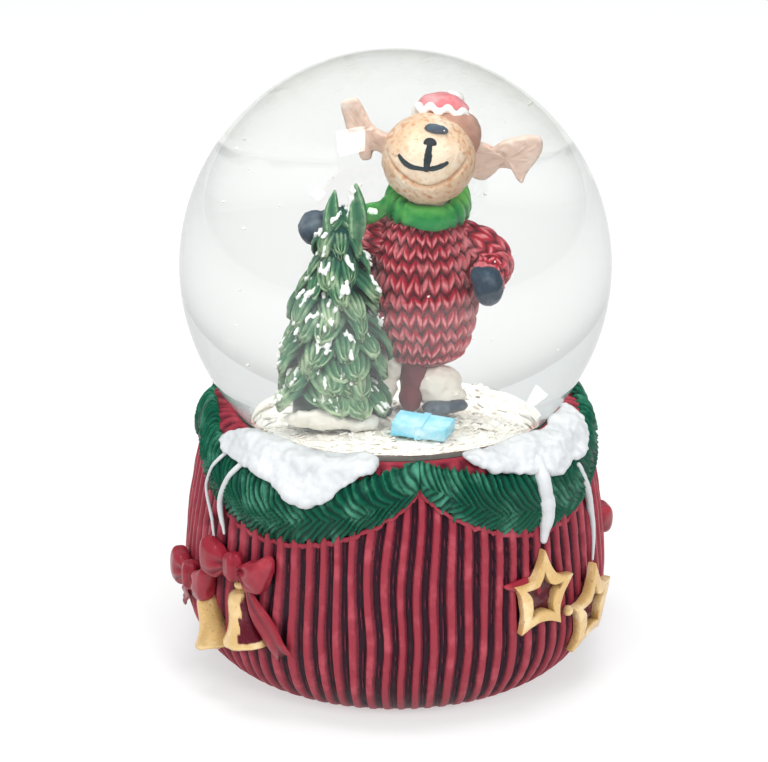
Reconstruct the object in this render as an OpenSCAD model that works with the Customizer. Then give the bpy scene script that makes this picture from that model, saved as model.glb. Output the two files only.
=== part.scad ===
/* [Globe] */
// Outer diameter of the glass ball
globe_d = 65; // [55:1:80]
// Thickness of the glass
glass_wall = 1.8; // [1.2:0.1:2.4]
// Bore of the glass neck, which the figures pass through
neck_bore_d = 40.4; // [38:0.2:46]
// Length of neck below the place where it leaves the ball
neck_drop = 5; // [3:0.5:7]

/* [Base] */
// Height of the rim where the glass meets the base
base_h = 40.6; // [36:0.2:48]
// Diameter of the flat ring that the base stands on
foot_d = 47; // [46:0.5:54]
// Widest diameter of the bowl
belly_d = 65.5; // [60:0.5:76]
// Height of the widest place
belly_h = 12; // [10:0.5:20]
// Diameter at the shoulder under the garland
shoulder_d = 58.5; // [57:0.5:70]
// How far the shoulder lies below the rim
shoulder_drop = 3.8; // [2:0.2:6]
// Diameter of the rim where the glass meets the base
rim_d = 50; // [48:0.5:54]
// Thickness of the floor under the stopper
well_floor = 3.5; // [2:0.5:5]
// Depth of the adhesive bed between glass and base
seal_gap = 0.3; // [0.1:0.05:0.6]

/* [Stopper and bottom cover] */
// Thickness of the stopper's flange
flange_t = 2.5; // [1.5:0.1:4]
// How far the stopper's plug goes up inside the neck
plug_h = 5.6; // [3:0.2:7]
// Diameter of the press-in bottom cover
cover_d = 38; // [30:0.5:40]
// Thickness of the bottom cover
cover_t = 2; // [1.2:0.1:3]
// Thickness of the felt on the bottom cover
felt_t = 1; // [0.5:0.1:1.5]
// How far the felt stays clear of the table
cover_recess = 0.6; // [0.4:0.1:1.5]

/* [Garland and snow] */
// Angle of the front joint between two swags, seen from above
cusp_angle = 7; // [-10:1:20]
// How far a swag hangs down in its middle
swag_sag = 7.2; // [5:0.1:9]
// Half the height of a swag in its middle
swag_half_h = 5; // [4:0.1:6]
// Half the thickness of a swag
swag_half_t = 2.2; // [1.5:0.1:3]
// Half the width of a snow cap across its slope
snow_half_w = 4.4; // [3:0.1:5]
// Half the thickness of a snow cap
snow_half_t = 1.3; // [0.8:0.1:2]

/* [Ornaments] */
// Height on the wall that the bows, bells and stars are placed from
trim_h = 18; // [16:0.5:20]
// Height of a bell without its loop
bell_h = 8.4; // [6:0.1:10]
// Diameter of a bell's mouth
bell_d = 6.8; // [5:0.1:8]
// Length of one bow loop
bow_loop = 5.4; // [4:0.1:7]
// Radius of a bow loop at its fullest
bow_puff = 2.8; // [2:0.1:3]
// How far a bow's tails hang down
bow_tail = 12; // [6:0.5:14]
// Distance from a star's centre to its points
star_r = 6.2; // [4:0.1:8]
// Width of a star's gold band
star_band = 1.2; // [0.8:0.1:1.6]
// Thickness of a star
star_t = 1.5; // [1:0.1:2.5]

/* [Scene inside] */
// Height of the moulded ground in its middle, above the stopper
ground_h = 6.6; // [4:0.2:9]
// Sideways place of the moose
moose_x = 3.6; // [1:0.1:5]
// Depth of the settled snow above the rim of the base
snow_depth = 2.6; // [1:0.1:4]
// Height of the fir tree
tree_h = 28; // [20:0.5:32]
// Diameter of the fir tree's lowest branches
tree_d = 12.6; // [9:0.1:14]
// Length of the gift box
gift_w = 7; // [4:0.1:9]

/* [Hidden] */

// Clearances: a pressed fit, the cover's slide, and a film that keeps two curved faces apart
press_gap = 0.02;
slide_gap = 0.08;
film = 0.03;
eps = 0.05;

globe_r = globe_d / 2;
cavity_r = globe_r - glass_wall;
neck_in_r = neck_bore_d / 2;
neck_out_r = neck_in_r + glass_wall;
foot_r = foot_d / 2;
belly_r = belly_d / 2;
shoulder_r = shoulder_d / 2;
shoulder_h = base_h - shoulder_drop;
rim_r = rim_d / 2;

// The ball rests in the rim, so its centre follows from the two radii
globe_z = base_h + sqrt(pow(globe_r + seal_gap, 2) - pow(rim_r, 2));
neck_top_z = globe_z - sqrt(pow(globe_r, 2) - pow(neck_out_r, 2));
neck_end_z = neck_top_z - neck_drop;
well_floor_z = neck_end_z - flange_t;
cavity_top_z = well_floor_z - well_floor;
stopper_top_z = neck_end_z + plug_h;
cover_z = cover_recess + felt_t;
ground_z = stopper_top_z + ground_h;

wall_steps = 12;
// How far down the seat of the ball the adhesive reaches
seal_h = 2.2;
swag_rings = 28;
tube_sides = 12;

// Radius of the base wall at height z: a quarter ellipse up to the belly, then a gentle taper in
function wall_r(z) =
    z < belly_h
    ? foot_r + (belly_r - foot_r) * sqrt(1 - pow((belly_h - z) / belly_h, 2))
    : belly_r - (belly_r - shoulder_r) * pow((z - belly_h) / (shoulder_h - belly_h), 2);

function polar(r, angle, z) = [r * sin(angle), -r * cos(angle), z];

// One ring of a swept body on the wall: an ellipse in the upright plane through the axis
function wall_ring(r, angle, z, half_out, half_up, lean) = [
    for (k = [0 : tube_sides - 1])
    let (a = 360 * k / tube_sides, u = half_out * cos(a), v = half_up * sin(a))
    polar(r + u * cos(lean) + v * sin(lean), angle, z + v * cos(lean) - u * sin(lean))
];

function unit(v) = v / norm(v);

// One ring of a round tube about the point p, square to the direction d
function tube_ring(p, d, r) =
    let (
        side = unit(cross(d, abs(d.z) < 0.9 * norm(d) ? [0, 0, 1] : [0, 1, 0])),
        up = unit(cross(side, d))
    )
    [
        for (k = [0 : tube_sides - 1])
        let (a = 360 * k / tube_sides)
        p + r * (side * cos(a) + up * sin(a))
    ];

function path_way(path, i) = path[min(i + 1, len(path) - 1)] - path[max(i - 1, 0)];

// A closed body through a list of rings that all have tube_sides points
module through_rings(rings) {
    n = tube_sides;
    last = len(rings) - 1;
    points = [for (ring = rings) each ring];
    walls = [
        for (i = [0 : last - 1], k = [0 : n - 1])
        let (a = i * n + k, b = i * n + (k + 1) % n)
        each [[a, b, b + n], [a, b + n, a + n]]
    ];
    start = [for (k = [1 : n - 2]) [0, k + 1, k]];
    finish = [for (k = [1 : n - 2]) [last * n, last * n + k, last * n + k + 1]];
    polyhedron(points = points, faces = concat(walls, start, finish), convexity = 6);
}

// A tube along a path, with one radius for each point
module tube(path, radii) {
    through_rings([for (i = [0 : len(path) - 1]) tube_ring(path[i], path_way(path, i), radii[i])]);
}

module ellipsoid(size) {
    scale(size / 2) sphere(r = 1, $fn = 36);
}

// Puts its children on the wall: X to the right along it, Y up, Z out
module on_wall(angle, z, out = 0) {
    rotate([0, 0, angle]) translate([0, -wall_r(z) - out, z]) rotate([90, 0, 0]) children();
}

module base_casting() {
    color("firebrick") difference() {
        rotate_extrude($fn = 120) polygon(concat(
            [[0, 0], [foot_r, 0]],
            [for (i = [1 : wall_steps]) let (z = belly_h * (1 - cos(90 * i / wall_steps))) [wall_r(z), z]],
            [
                for (i = [1 : wall_steps])
                let (z = belly_h + (shoulder_h - belly_h) * i / wall_steps)
                [wall_r(z), z]
            ],
            [[rim_r + 3, base_h - 0.6], [rim_r, base_h], [0, base_h]]
        ));
        translate([0, 0, globe_z]) sphere(r = globe_r + seal_gap, $fn = 120);
        translate([0, 0, well_floor_z]) cylinder(r = neck_out_r + seal_gap, h = base_h, $fn = 96);
        translate([0, 0, -eps]) cylinder(r = cover_d / 2 + slide_gap, h = cover_z + cover_t + eps, $fn = 96);
        translate([0, 0, cover_z]) cylinder(r = cover_d / 2 - 1.5, h = cavity_top_z - cover_z, $fn = 96);
    }
}

module bottom_cover() {
    color("dimgray") translate([0, 0, cover_z]) difference() {
        cylinder(r = cover_d / 2, h = cover_t - press_gap, $fn = 96);
        translate([0, 0, cover_t - 0.6]) cylinder(r = cover_d / 2 - 4, h = cover_t, $fn = 96);
    }
}

module felt_pad() {
    color("darkgreen") translate([0, 0, cover_recess]) cylinder(r = cover_d / 2 - 1, h = felt_t, $fn = 96);
}

module rubber_stopper() {
    color("black") difference() {
        union() {
            translate([0, 0, well_floor_z]) cylinder(r = neck_out_r, h = flange_t, $fn = 96);
            translate([0, 0, well_floor_z])
                cylinder(r = neck_in_r - press_gap, h = flange_t + plug_h, $fn = 96);
        }
        // Hollow underside that lets the plug squeeze in
        translate([0, 0, well_floor_z - eps]) cylinder(r = neck_in_r - 5, h = flange_t + eps, $fn = 96);
    }
}

module seal_ring() {
    color("darkslategray") translate([0, 0, globe_z]) difference() {
        sphere(r = globe_r + seal_gap - film, $fn = 120);
        sphere(r = globe_r + film, $fn = 120);
        translate([0, 0, base_h - globe_z - 0.1]) cylinder(r = globe_d, h = globe_d * 2, $fn = 60);
        translate([0, 0, -globe_d * 2 + base_h - globe_z - seal_h])
            cylinder(r = globe_d, h = globe_d * 2, $fn = 60);
    }
}

module glass_globe() {
    color("lightcyan", 0.3) difference() {
        union() {
            translate([0, 0, globe_z]) sphere(r = globe_r, $fn = 120);
            translate([0, 0, neck_end_z]) cylinder(r = neck_out_r, h = neck_drop + 3, $fn = 96);
        }
        translate([0, 0, globe_z]) sphere(r = cavity_r, $fn = 120);
        translate([0, 0, globe_z - globe_r - eps]) cylinder(r = neck_in_r, h = globe_r / 2, $fn = 96);
    }
}

// Everything from the stopper's top face down
module below_stopper_top() {
    translate([0, 0, stopper_top_z - globe_d]) cylinder(r = globe_d, h = globe_d, $fn = 60);
}

module liquid() {
    color("aliceblue", 0.3) difference() {
        union() {
            translate([0, 0, globe_z]) sphere(r = cavity_r - film, $fn = 120);
            translate([0, 0, stopper_top_z - 1]) cylinder(r = neck_in_r - film, h = 8, $fn = 96);
        }
        below_stopper_top();
    }
}

// A swag of fir between two cusps a quarter turn apart
module garland(start) {
    color("darkgreen") through_rings([
        for (i = [0 : swag_rings])
        let (
            t = i / swag_rings,
            hang = sin(180 * t),
            z = base_h - 0.8 - swag_sag * pow(hang, 0.8),
            end_cut = 0.4 + 0.6 * pow(hang, 0.5),
            r = rim_r + 3.2 + (shoulder_r - rim_r - 2.6) * pow(hang, 0.6)
        )
        wall_ring(r, start + 90 * t, z, swag_half_t * end_cut, swag_half_h * end_cut, -20 * (1 - hang))
    ]);
}

module garland_front_left() { garland(cusp_angle - 90); }
module garland_front_right() { garland(cusp_angle); }
module garland_back_right() { garland(cusp_angle + 90); }
module garland_back_left() { garland(cusp_angle + 180); }

// A cap of snow that lies on the collar and folds down over the garland
module snow_cap(from, to, slope) {
    rings = 20;
    color("white") through_rings([
        for (i = [0 : rings])
        let (
            t = i / rings,
            swell = pow(sin(4 + 172 * t), 0.5),
            angle = from + (to - from) * t
        )
        wall_ring(
            shoulder_r - 0.4, angle, base_h - 1.4 - slope * sin(180 * t),
            snow_half_w * swell, snow_half_t * swell, 42
        )
    ]);
}

module snow_cap_front_left() { snow_cap(-62, -7, 0.8); }
module snow_cap_front_right() { snow_cap(22, 72, 1); }
module snow_cap_back_right() { rotate([0, 0, 180]) snow_cap(-62, -7, 0.8); }
module snow_cap_back_left() { rotate([0, 0, 180]) snow_cap(22, 84, 1); }

// Icicles run down the garland and hang in front of the wall: angle, drop below the rim, radius
LEFT_OUTER = [
    [-55.5, 1.6, 0.5], [-61.5, 5.6, 0.45], [-64, 8.2, 0.4],
    [-63, 10.4, 0.35], [-59.5, 13, 0.3], [-56.5, 15.6, 0.2]
];
LEFT_INNER = [
    [-46.6, 1.6, 0.7], [-51, 4.6, 0.65], [-54, 7.4, 0.6],
    [-55, 9.6, 0.5], [-54, 11.6, 0.4], [-52.4, 13.8, 0.25]
];
RIGHT_FRONT = [
    [45, 2, 1.1], [44.8, 4.6, 1.05], [45.4, 7.4, 1.05],
    [45.4, 9.6, 0.95], [44.6, 12, 0.7], [44, 14, 0.3]
];
RIGHT_SIDE = [
    [59.7, 4, 0.6], [63, 7.8, 0.65], [66, 10.9, 0.6],
    [67, 14, 0.5], [66.2, 16.8, 0.4], [64, 20, 0.2]
];
swag_out_r = shoulder_r + 0.6 + swag_half_t;

module icicle(points) {
    color("white") tube(
        [for (p = points) let (z = base_h - p[1]) polar(max(swag_out_r - 0.4, wall_r(z) + 0.3), p[0], z)],
        [for (p = points) p[2]]
    );
}

module icicle_left_outer() { icicle(LEFT_OUTER); }
module icicle_left_inner() { icicle(LEFT_INNER); }
module icicle_right_front() { icicle(RIGHT_FRONT); }
module icicle_right_side() { icicle(RIGHT_SIDE); }

// Outline of one loop from its tip to the knot: share of its radius and of its length
BOW_LOOP = [[0, 1], [0.56, 0.94], [0.93, 0.72], [1, 0.52], [0.78, 0.34], [0.42, 0.17]];

// A ribbon bow: loops and knot turned about one line, and two tails that follow the wall down
module bow(angle, z, turn) {
    color("crimson") {
        on_wall(angle, z, -0.3) rotate([0, 0, turn]) rotate([0, 90, 0])
            rotate_extrude($fn = 36) polygon(concat(
            [for (p = BOW_LOOP) [p[0] * bow_puff, -p[1] * (bow_loop + 1)]],
            [[1.5, -0.8], [1.7, 0], [1.5, 0.8]],
            [
                for (i = [len(BOW_LOOP) - 1 : -1 : 0])
                [BOW_LOOP[i][0] * bow_puff, BOW_LOOP[i][1] * (bow_loop + 1)]
            ]
        ));
        for (way = [-1, 1])
            let (
                top = z - 3,
                drop = min(bow_tail + way, top - 2.4),
                path = [
                    for (i = [0 : 6])
                    let (t = i / 6, h = top - drop * t, a = angle + way * (1.8 + 11 * t) + 2.5 * sin(300 * t))
                    polar(wall_r(h) + 0.5, a, h)
                ]
            )
            tube(path, [for (i = [0 : 6]) 0.9 - 0.09 * i]);
    }
}

module bow_front() { bow(-46, trim_h + 4.8, 2); }
module bow_side() { bow(-66.5, trim_h - 1.2, 7); }
module bow_back() { bow(134, trim_h + 4.8, 2); }
module bow_far_side() { bow(113.5, trim_h - 1.2, 7); }

// A bell with a crown loop, hung from a bow and sunk a little into the wall
module bell(angle, top_z, lean) {
    mouth_r = bell_d / 2;
    color("goldenrod") rotate([0, 0, angle]) translate([0, -wall_r(top_z - bell_h / 2) - 0.1, top_z])
        rotate([0, lean, 0]) difference() {
            union() {
                rotate_extrude($fn = 48) polygon([
                    [0, 0], [mouth_r * 0.4, -0.3], [mouth_r * 0.58, -1.4],
                    [mouth_r * 0.64, -bell_h * 0.45], [mouth_r * 0.74, -bell_h * 0.72],
                    [mouth_r, -bell_h * 0.93], [mouth_r, -bell_h], [0, -bell_h]
                ]);
                translate([0, 0, 0.5]) sphere(r = 0.9, $fn = 24);
            }
            translate([0, 0, -bell_h - eps]) cylinder(r = mouth_r - 0.8, h = 1.2, $fn = 36);
        }
}

// Angle, height and lean of each bell
BELLS = [
    [-44.5, trim_h + 1, -9],
    [-59.5, trim_h - 2.4, -14],
    [135.5, trim_h + 1, -9],
    [120.5, trim_h - 2.4, -14]
];
module bell_front() { bell(BELLS[0][0], BELLS[0][1], BELLS[0][2]); }
module bell_side() { bell(BELLS[1][0], BELLS[1][1], BELLS[1][2]); }
module bell_back() { bell(BELLS[2][0], BELLS[2][1], BELLS[2][2]); }
module bell_far_side() { bell(BELLS[3][0], BELLS[3][1], BELLS[3][2]); }

module bell_clappers() {
    color("darkgoldenrod") for (b = BELLS)
        rotate([0, 0, b[0]]) translate([0, -wall_r(b[1] - bell_h / 2) - 0.1, b[1]])
            rotate([0, b[2], 0]) translate([0, 0, -bell_h + 0.3]) sphere(r = 0.95, $fn = 24);
}

function star_points(r, inner) = [
    for (i = [0 : 9])
    let (reach = i % 2 == 0 ? r : r * inner)
    [reach * sin(36 * i), reach * cos(36 * i)]
];

// An open five-pointed star, flat and standing a little off the wall
module star(angle, z, turn, lean) {
    color("gold") on_wall(angle, z, 0.1) rotate([lean, 0, 0]) rotate([0, 0, turn]) difference() {
        linear_extrude(height = star_t) polygon(star_points(star_r, 0.52));
        translate([0, 0, -eps]) linear_extrude(height = star_t + 1)
            polygon(star_points(star_r - star_band * 2, 0.52));
    }
}

// Angle, height, turn and lean of each star
STARS = [
    [41, trim_h + 1.2, 3, 0],
    [62, trim_h - 5.4, -8, 12],
    [221, trim_h + 1.2, 3, 0],
    [242, trim_h - 5.4, -8, 12]
];
module star_front() { star(STARS[0][0], STARS[0][1], STARS[0][2], STARS[0][3]); }
module star_side() { star(STARS[1][0], STARS[1][1], STARS[1][2], STARS[1][3]); }
module star_back() { star(STARS[2][0], STARS[2][1], STARS[2][2], STARS[2][3]); }
module star_far_side() { star(STARS[3][0], STARS[3][1], STARS[3][2], STARS[3][3]); }

// Dark ribbon knots that the stars hang on, seen through their openings
module star_backs() {
    color("maroon") for (s = STARS)
        on_wall(s[0], s[1], 0) rotate([s[3], 0, 0]) translate([0, 0, -1.2])
            cylinder(r = star_r * 0.5, h = 1.9, $fn = 36);
}

// Small gold balls between the stars of each pair
module star_beads() {
    color("goldenrod") for (a = [STARS[0][0], STARS[2][0]])
        on_wall(a + 9.8, trim_h - 3.4, 0.3) sphere(r = 0.8, $fn = 24);
}

// Pointed ribbon ends that stick out beside the first star of each pair
module star_ribbons() {
    color("crimson") for (a = [STARS[0][0], STARS[2][0]])
        tube(
            [for (i = [0 : 4]) let (h = trim_h + 3.4 + 0.2 * i) polar(wall_r(h) + 0.6, a - 6.4 - 1.7 * i, h)],
            [1.2, 1.1, 0.9, 0.7, 0.4]
        );
}

dome_r = 40;
ground_r = neck_in_r - 0.8;
module ground() {
    color("antiquewhite") intersection() {
        translate([0, 0, stopper_top_z]) cylinder(r = ground_r, h = ground_h, $fn = 96);
        translate([0, 0, ground_z - dome_r]) sphere(r = dome_r, $fn = 120);
    }
}

// Loose flakes settled between the ground and the glass
module snow_bed() {
    color("ivory") difference() {
        translate([0, 0, globe_z]) sphere(r = cavity_r - 0.15, $fn = 120);
        translate([0, 0, base_h + snow_depth]) cylinder(r = globe_d, h = globe_d * 2, $fn = 60);
        below_stopper_top();
        intersection() {
            cylinder(r = ground_r + film, h = globe_z, $fn = 96);
            translate([0, 0, ground_z - dome_r]) sphere(r = dome_r + film, $fn = 120);
        }
    }
}

FLAKES = 22;
module drifting_flakes() {
    color("white") for (i = [0 : FLAKES - 1])
        let (turn = 137.5 * i, h = 9 + 0.75 * i, r = 18 + 3 * sin(70 * i))
        translate([0, 0, base_h + h]) rotate([0, 0, turn]) translate([r, 0, 0])
            rotate([40 * i, 25 * i, 0]) cylinder(r = 0.4, h = 0.12, $fn = 6);
}

module boot_left() {
    color("darkslategray") translate([moose_x - 5.5, -1.6, ground_z + 1.6]) ellipsoid([3.2, 4.4, 3.6]);
}

module boot_right() {
    color("darkslategray") translate([moose_x + 2.2, -3, ground_z + 1.1]) ellipsoid([5, 4, 2.2]);
}

module leg_left() {
    x = moose_x - 4;
    color("tan") tube(
        [[x - 1, -1.6, ground_z + 2.4], [x - 0.5, -1.3, ground_z + 4.4], [x, -1, ground_z + 7]],
        [1.7, 1.9, 1.9]
    );
}

module leg_right() {
    color("tan") tube(
        [
            [moose_x + 1.2, -1.6, ground_z + 2],
            [moose_x + 1, -1.2, ground_z + 3.8],
            [moose_x + 0.6, -1, ground_z + 6]
        ],
        [2.4, 2.4, 2.1]
    );
}

module sweater() {
    color("firebrick") translate([moose_x - 0.5, 0, ground_z + 5.6]) rotate_extrude($fn = 60) polygon([
        [0, 0], [2.6, 0.1], [4.2, 1.2], [5.4, 3.4], [6.1, 6], [6.2, 9],
        [6, 12], [5.6, 14.6], [4.8, 16.8], [3.4, 18], [0, 18]
    ]);
    // Dark strip that hangs between the legs
    color("maroon") tube(
        [
            [moose_x - 1.5, -1.4, ground_z + 7],
            [moose_x - 1.7, -1.8, ground_z + 4.4],
            [moose_x - 1.8, -2, ground_z + 1.4]
        ],
        [1.5, 1.6, 1.3]
    );
}

SHOULDER_Z = 20;
module sleeve_left() {
    x = moose_x - 5.2;
    z = ground_z + SHOULDER_Z;
    color("firebrick") tube(
        [[x, -0.5, z], [x - 2, -1, z + 0.6], [x - 4, -1.2, z + 1.2], [x - 5.8, -1.2, z + 1.6]],
        [1.9, 1.9, 1.7, 1.5]
    );
}

module sleeve_right() {
    x = moose_x + 4.6;
    z = ground_z + SHOULDER_Z;
    color("firebrick") tube(
        [
            [x, 0, z], [x + 2, -0.4, z - 1], [x + 3.2, -1.4, z - 2.4],
            [x + 2.9, -3, z - 3.2], [x + 2.2, -4.2, z - 3.5]
        ],
        [2, 2.1, 2.1, 1.9, 1.7]
    );
}

module mitten_left() {
    color("darkslategray")
        translate([moose_x - 12.8, -1.2, ground_z + SHOULDER_Z + 1.8]) ellipsoid([4, 3.6, 4]);
}

module mitten_right() {
    color("darkslategray")
        translate([moose_x + 6.7, -5.2, ground_z + SHOULDER_Z - 4.4]) ellipsoid([3.8, 3.4, 5]);
}

SCARF_Z = 24.3;
module scarf() {
    color("green") {
        translate([moose_x, -0.6, ground_z + SCARF_Z]) rotate([12, 0, 0])
            rotate_extrude($fn = 48) translate([3.9, 0]) circle(r = 1.4, $fn = 24);
        // Free end, which runs behind the tree
        tube(
            [for (i = [0 : 4]) [moose_x - 3.6 - 1.3 * i, -1.6, ground_z + SCARF_Z - 0.2 * i]],
            [for (i = [0 : 4]) 1 + 0.12 * i]
        );
    }
}

HEAD_Z = 31.4;
module head() {
    color("burlywood") {
        tube(
            [
                [moose_x, 0, ground_z + SCARF_Z - 2], [moose_x, -0.4, ground_z + SCARF_Z + 3],
                [moose_x + 0.2, -0.6, ground_z + HEAD_Z - 2]
            ],
            [3.4, 3.6, 4]
        );
        translate([moose_x + 0.4, -2.5, ground_z + HEAD_Z]) sphere(r = 5.7, $fn = 48);
        translate([moose_x + 1.4, 1.2, ground_z + HEAD_Z + 0.6]) sphere(r = 4.6, $fn = 48);
    }
}

module nose() {
    color("slategray")
        translate([moose_x + 0.7, -6.4, ground_z + HEAD_Z + 4.4])
            rotate([40, 0, 0]) ellipsoid([2.9, 1.8, 1.9]);
}

// A palmate antler: a stem and a flat palm with short points
module antler(side) {
    color("rosybrown") hull() {
        for (p = side)
            translate([p[0], 1, p[1]]) scale([1, 0.7, 1]) sphere(r = p[2], $fn = 16);
    }
}

module antler_right() {
    x = moose_x;
    z = ground_z;
    color("rosybrown") {
        antler([[x + 5.4, z + 29.6, 1.1], [x + 9.5, z + 30.6, 1.5]]);
        antler([[x + 9.2, z + 30.2, 1.9], [x + 12.4, z + 31.6, 1.6], [x + 14, z + 32.4, 0.9]]);
        antler([[x + 9, z + 29.4, 1], [x + 10.2, z + 27.4, 0.7]]);
        antler([[x + 6.4, z + 29, 0.8], [x + 6, z + 27.2, 0.6]]);
    }
}

module antler_left() {
    x = moose_x;
    z = ground_z;
    color("rosybrown") {
        antler([[x - 4.2, z + 30.2, 1.1], [x - 6.6, z + 31.2, 1.4]]);
        antler([[x - 6.8, z + 31.4, 1.7], [x - 8.4, z + 34.6, 1.5], [x - 9.2, z + 36.8, 0.9]]);
        antler([[x - 6.6, z + 31, 0.9], [x - 7.4, z + 28.8, 0.6]]);
    }
}

module hat() {
    color("crimson")
        translate([moose_x + 2, 2.4, ground_z + HEAD_Z + 4]) rotate([-16, 8, 0]) ellipsoid([6.6, 6.2, 5.8]);
}

module hat_trim() {
    color("white") translate([moose_x + 2, 1.2, ground_z + HEAD_Z + 3.4]) rotate([28, 8, 0])
        rotate_extrude($fn = 48) translate([3, 0]) circle(r = 0.6, $fn = 16);
}

module pompom() {
    color("white") translate([moose_x + 3.4, 5.6, ground_z + HEAD_Z + 4]) sphere(r = 1.3, $fn = 30);
}

TREE_X = -6.7;
TREE_Y = -4.6;
TREE_TIERS = 7;
module fir_tree() {
    color("forestgreen") translate([TREE_X, TREE_Y, ground_z]) rotate([0, 2.5, 0]) {
        cylinder(r = 1.2, h = tree_h * 0.5, $fn = 24);
        for (i = [0 : TREE_TIERS - 1])
            let (
                low = tree_h * (0.06 + 0.125 * i),
                r = tree_d / 2 * (1 - 0.115 * i),
                h = i == TREE_TIERS - 1 ? tree_h - low : tree_h * 0.24
            )
            translate([0, 0, low]) cylinder(r1 = r, r2 = 0.3, h = h, $fn = 40);
    }
}

module tree_rock() {
    color("gainsboro") translate([TREE_X - 1.5, -8.6, ground_z + 0.4]) ellipsoid([7.6, 4.2, 3]);
}

GIFT_X = 2.8;
GIFT_Y = -10.4;
GIFT_SIZE = [gift_w, 3.8, 1.9];
// The gift lies on the slope of the ground, tipped towards the front
module place_gift() {
    slope_z = ground_z - dome_r + sqrt(pow(dome_r, 2) - pow(GIFT_Y, 2));
    translate([GIFT_X, GIFT_Y, slope_z + GIFT_SIZE.z / 2 + 0.1]) rotate([18, 8, -14]) children();
}

module gift_box() {
    color("skyblue") place_gift() translate(-GIFT_SIZE / 2) cube(GIFT_SIZE);
}

module gift_ribbon() {
    color("deepskyblue") place_gift() translate([-0.5, -GIFT_SIZE.y / 2 - 0.15, GIFT_SIZE.z / 2 + press_gap])
        cube([1, GIFT_SIZE.y + 0.3, 0.35]);
}

base_casting();
bottom_cover();
felt_pad();
rubber_stopper();
seal_ring();
glass_globe();
liquid();
garland_front_left();
garland_front_right();
garland_back_right();
garland_back_left();
snow_cap_front_left();
snow_cap_front_right();
snow_cap_back_right();
snow_cap_back_left();
icicle_left_outer();
icicle_left_inner();
icicle_right_front();
icicle_right_side();
bow_front();
bow_side();
bow_back();
bow_far_side();
bell_front();
bell_side();
bell_back();
bell_far_side();
bell_clappers();
star_front();
star_side();
star_back();
star_far_side();
star_backs();
star_beads();
star_ribbons();
ground();
snow_bed();
drifting_flakes();
boot_left();
boot_right();
leg_left();
leg_right();
sweater();
sleeve_left();
sleeve_right();
mitten_left();
mitten_right();
scarf();
head();
nose();
antler_left();
antler_right();
hat();
hat_trim();
pompom();
fir_tree();
tree_rock();
gift_box();
gift_ribbon();
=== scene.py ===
"""The looks of the snow globe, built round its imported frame. Lengths are in millimetres until a piece is finished."""

import random
from math import acos, asin, atan2, copysign, cos, degrees, exp, floor, hypot, pi, radians, sin, sqrt, tan, tau

import bmesh
import bpy
from mathutils import Euler, Matrix, Vector, noise


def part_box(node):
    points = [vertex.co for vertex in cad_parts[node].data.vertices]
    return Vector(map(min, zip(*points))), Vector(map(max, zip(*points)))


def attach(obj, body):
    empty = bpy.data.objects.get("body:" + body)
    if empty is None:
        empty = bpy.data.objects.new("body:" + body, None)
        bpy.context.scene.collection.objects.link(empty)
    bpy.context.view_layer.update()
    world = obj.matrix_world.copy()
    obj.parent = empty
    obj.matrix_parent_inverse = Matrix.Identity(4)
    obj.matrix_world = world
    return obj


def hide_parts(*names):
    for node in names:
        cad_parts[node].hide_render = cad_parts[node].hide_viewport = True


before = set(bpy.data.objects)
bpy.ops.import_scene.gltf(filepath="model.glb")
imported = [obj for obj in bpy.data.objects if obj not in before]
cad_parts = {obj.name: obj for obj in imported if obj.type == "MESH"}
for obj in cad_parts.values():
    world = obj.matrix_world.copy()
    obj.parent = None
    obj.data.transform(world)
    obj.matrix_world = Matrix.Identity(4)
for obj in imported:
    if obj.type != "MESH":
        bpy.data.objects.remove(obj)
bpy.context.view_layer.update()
MM = 0.001
rng = random.Random(65)

# ---------------------------------------------------------------- sizes read from the frame


def top_of(node):
    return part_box(node)[1].z / MM


def middle_of(node):
    low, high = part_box(node)
    return (low + high) / 2 / MM


def span_of(node):
    low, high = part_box(node)
    return (high - low) / MM


GLOBE_R = span_of("glass_globe").x / 2
GLOBE_Z = top_of("glass_globe") - GLOBE_R
GLASS_WALL = 1.8
CAVITY_R = GLOBE_R - GLASS_WALL
STOPPER_TOP = top_of("rubber_stopper")
NECK_R = GLOBE_R - 12.3
NECK_END = STOPPER_TOP - 5.6
RIM_Z = top_of("base_casting")
RIM_R = 25.0
BELLY_R = span_of("base_casting").x / 2
BELLY_Z = 12.0
TRIM_Z = 18.0
FOOT_R = 23.5
SHOULDER_R = 29.25
SHOULDER_Z = RIM_Z - 3.8
GROUND_Z = top_of("ground")
MOOSE_X = middle_of("sweater").x + 0.5

# ---------------------------------------------------------------- making meshes


def polar(r, angle, z):
    """A point at radius r and height z, with the angle in degrees from the front towards the right."""
    a = radians(angle)
    return Vector((r * sin(a), -r * cos(a), z))


def lerp(a, b, t):
    return a + (b - a) * t


def smooth(low, high, value):
    """0 below low, 1 above high, and an even curve between."""
    t = min(1.0, max(0.0, (value - low) / (high - low)))
    return t * t * (3 - 2 * t)


def signed_power(x, power):
    """A power of the size of x, with the sign of x."""
    return copysign(abs(x) ** power, x)


def wobble(x, y, z, scale=1):
    """Smooth noise at a point, between about -1 and 1."""
    return noise.noise(Vector((x, y, z)) * scale)


def along(points, t):
    """The values at share t of a list of equally spaced rows, joined by a smooth curve."""
    x = t * (len(points) - 1)
    i = min(int(x), len(points) - 2)
    p0, p1, p2, p3 = (points[min(max(k, 0), len(points) - 1)] for k in (i - 1, i, i + 1, i + 2))
    f = x - i
    return [
        0.5 * (2 * b + (c - a) * f + (2 * a - 5 * b + 4 * c - d) * f**2 + (3 * b - a - 3 * c + d) * f**3)
        for a, b, c, d in zip(p0, p1, p2, p3)
    ]


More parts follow.
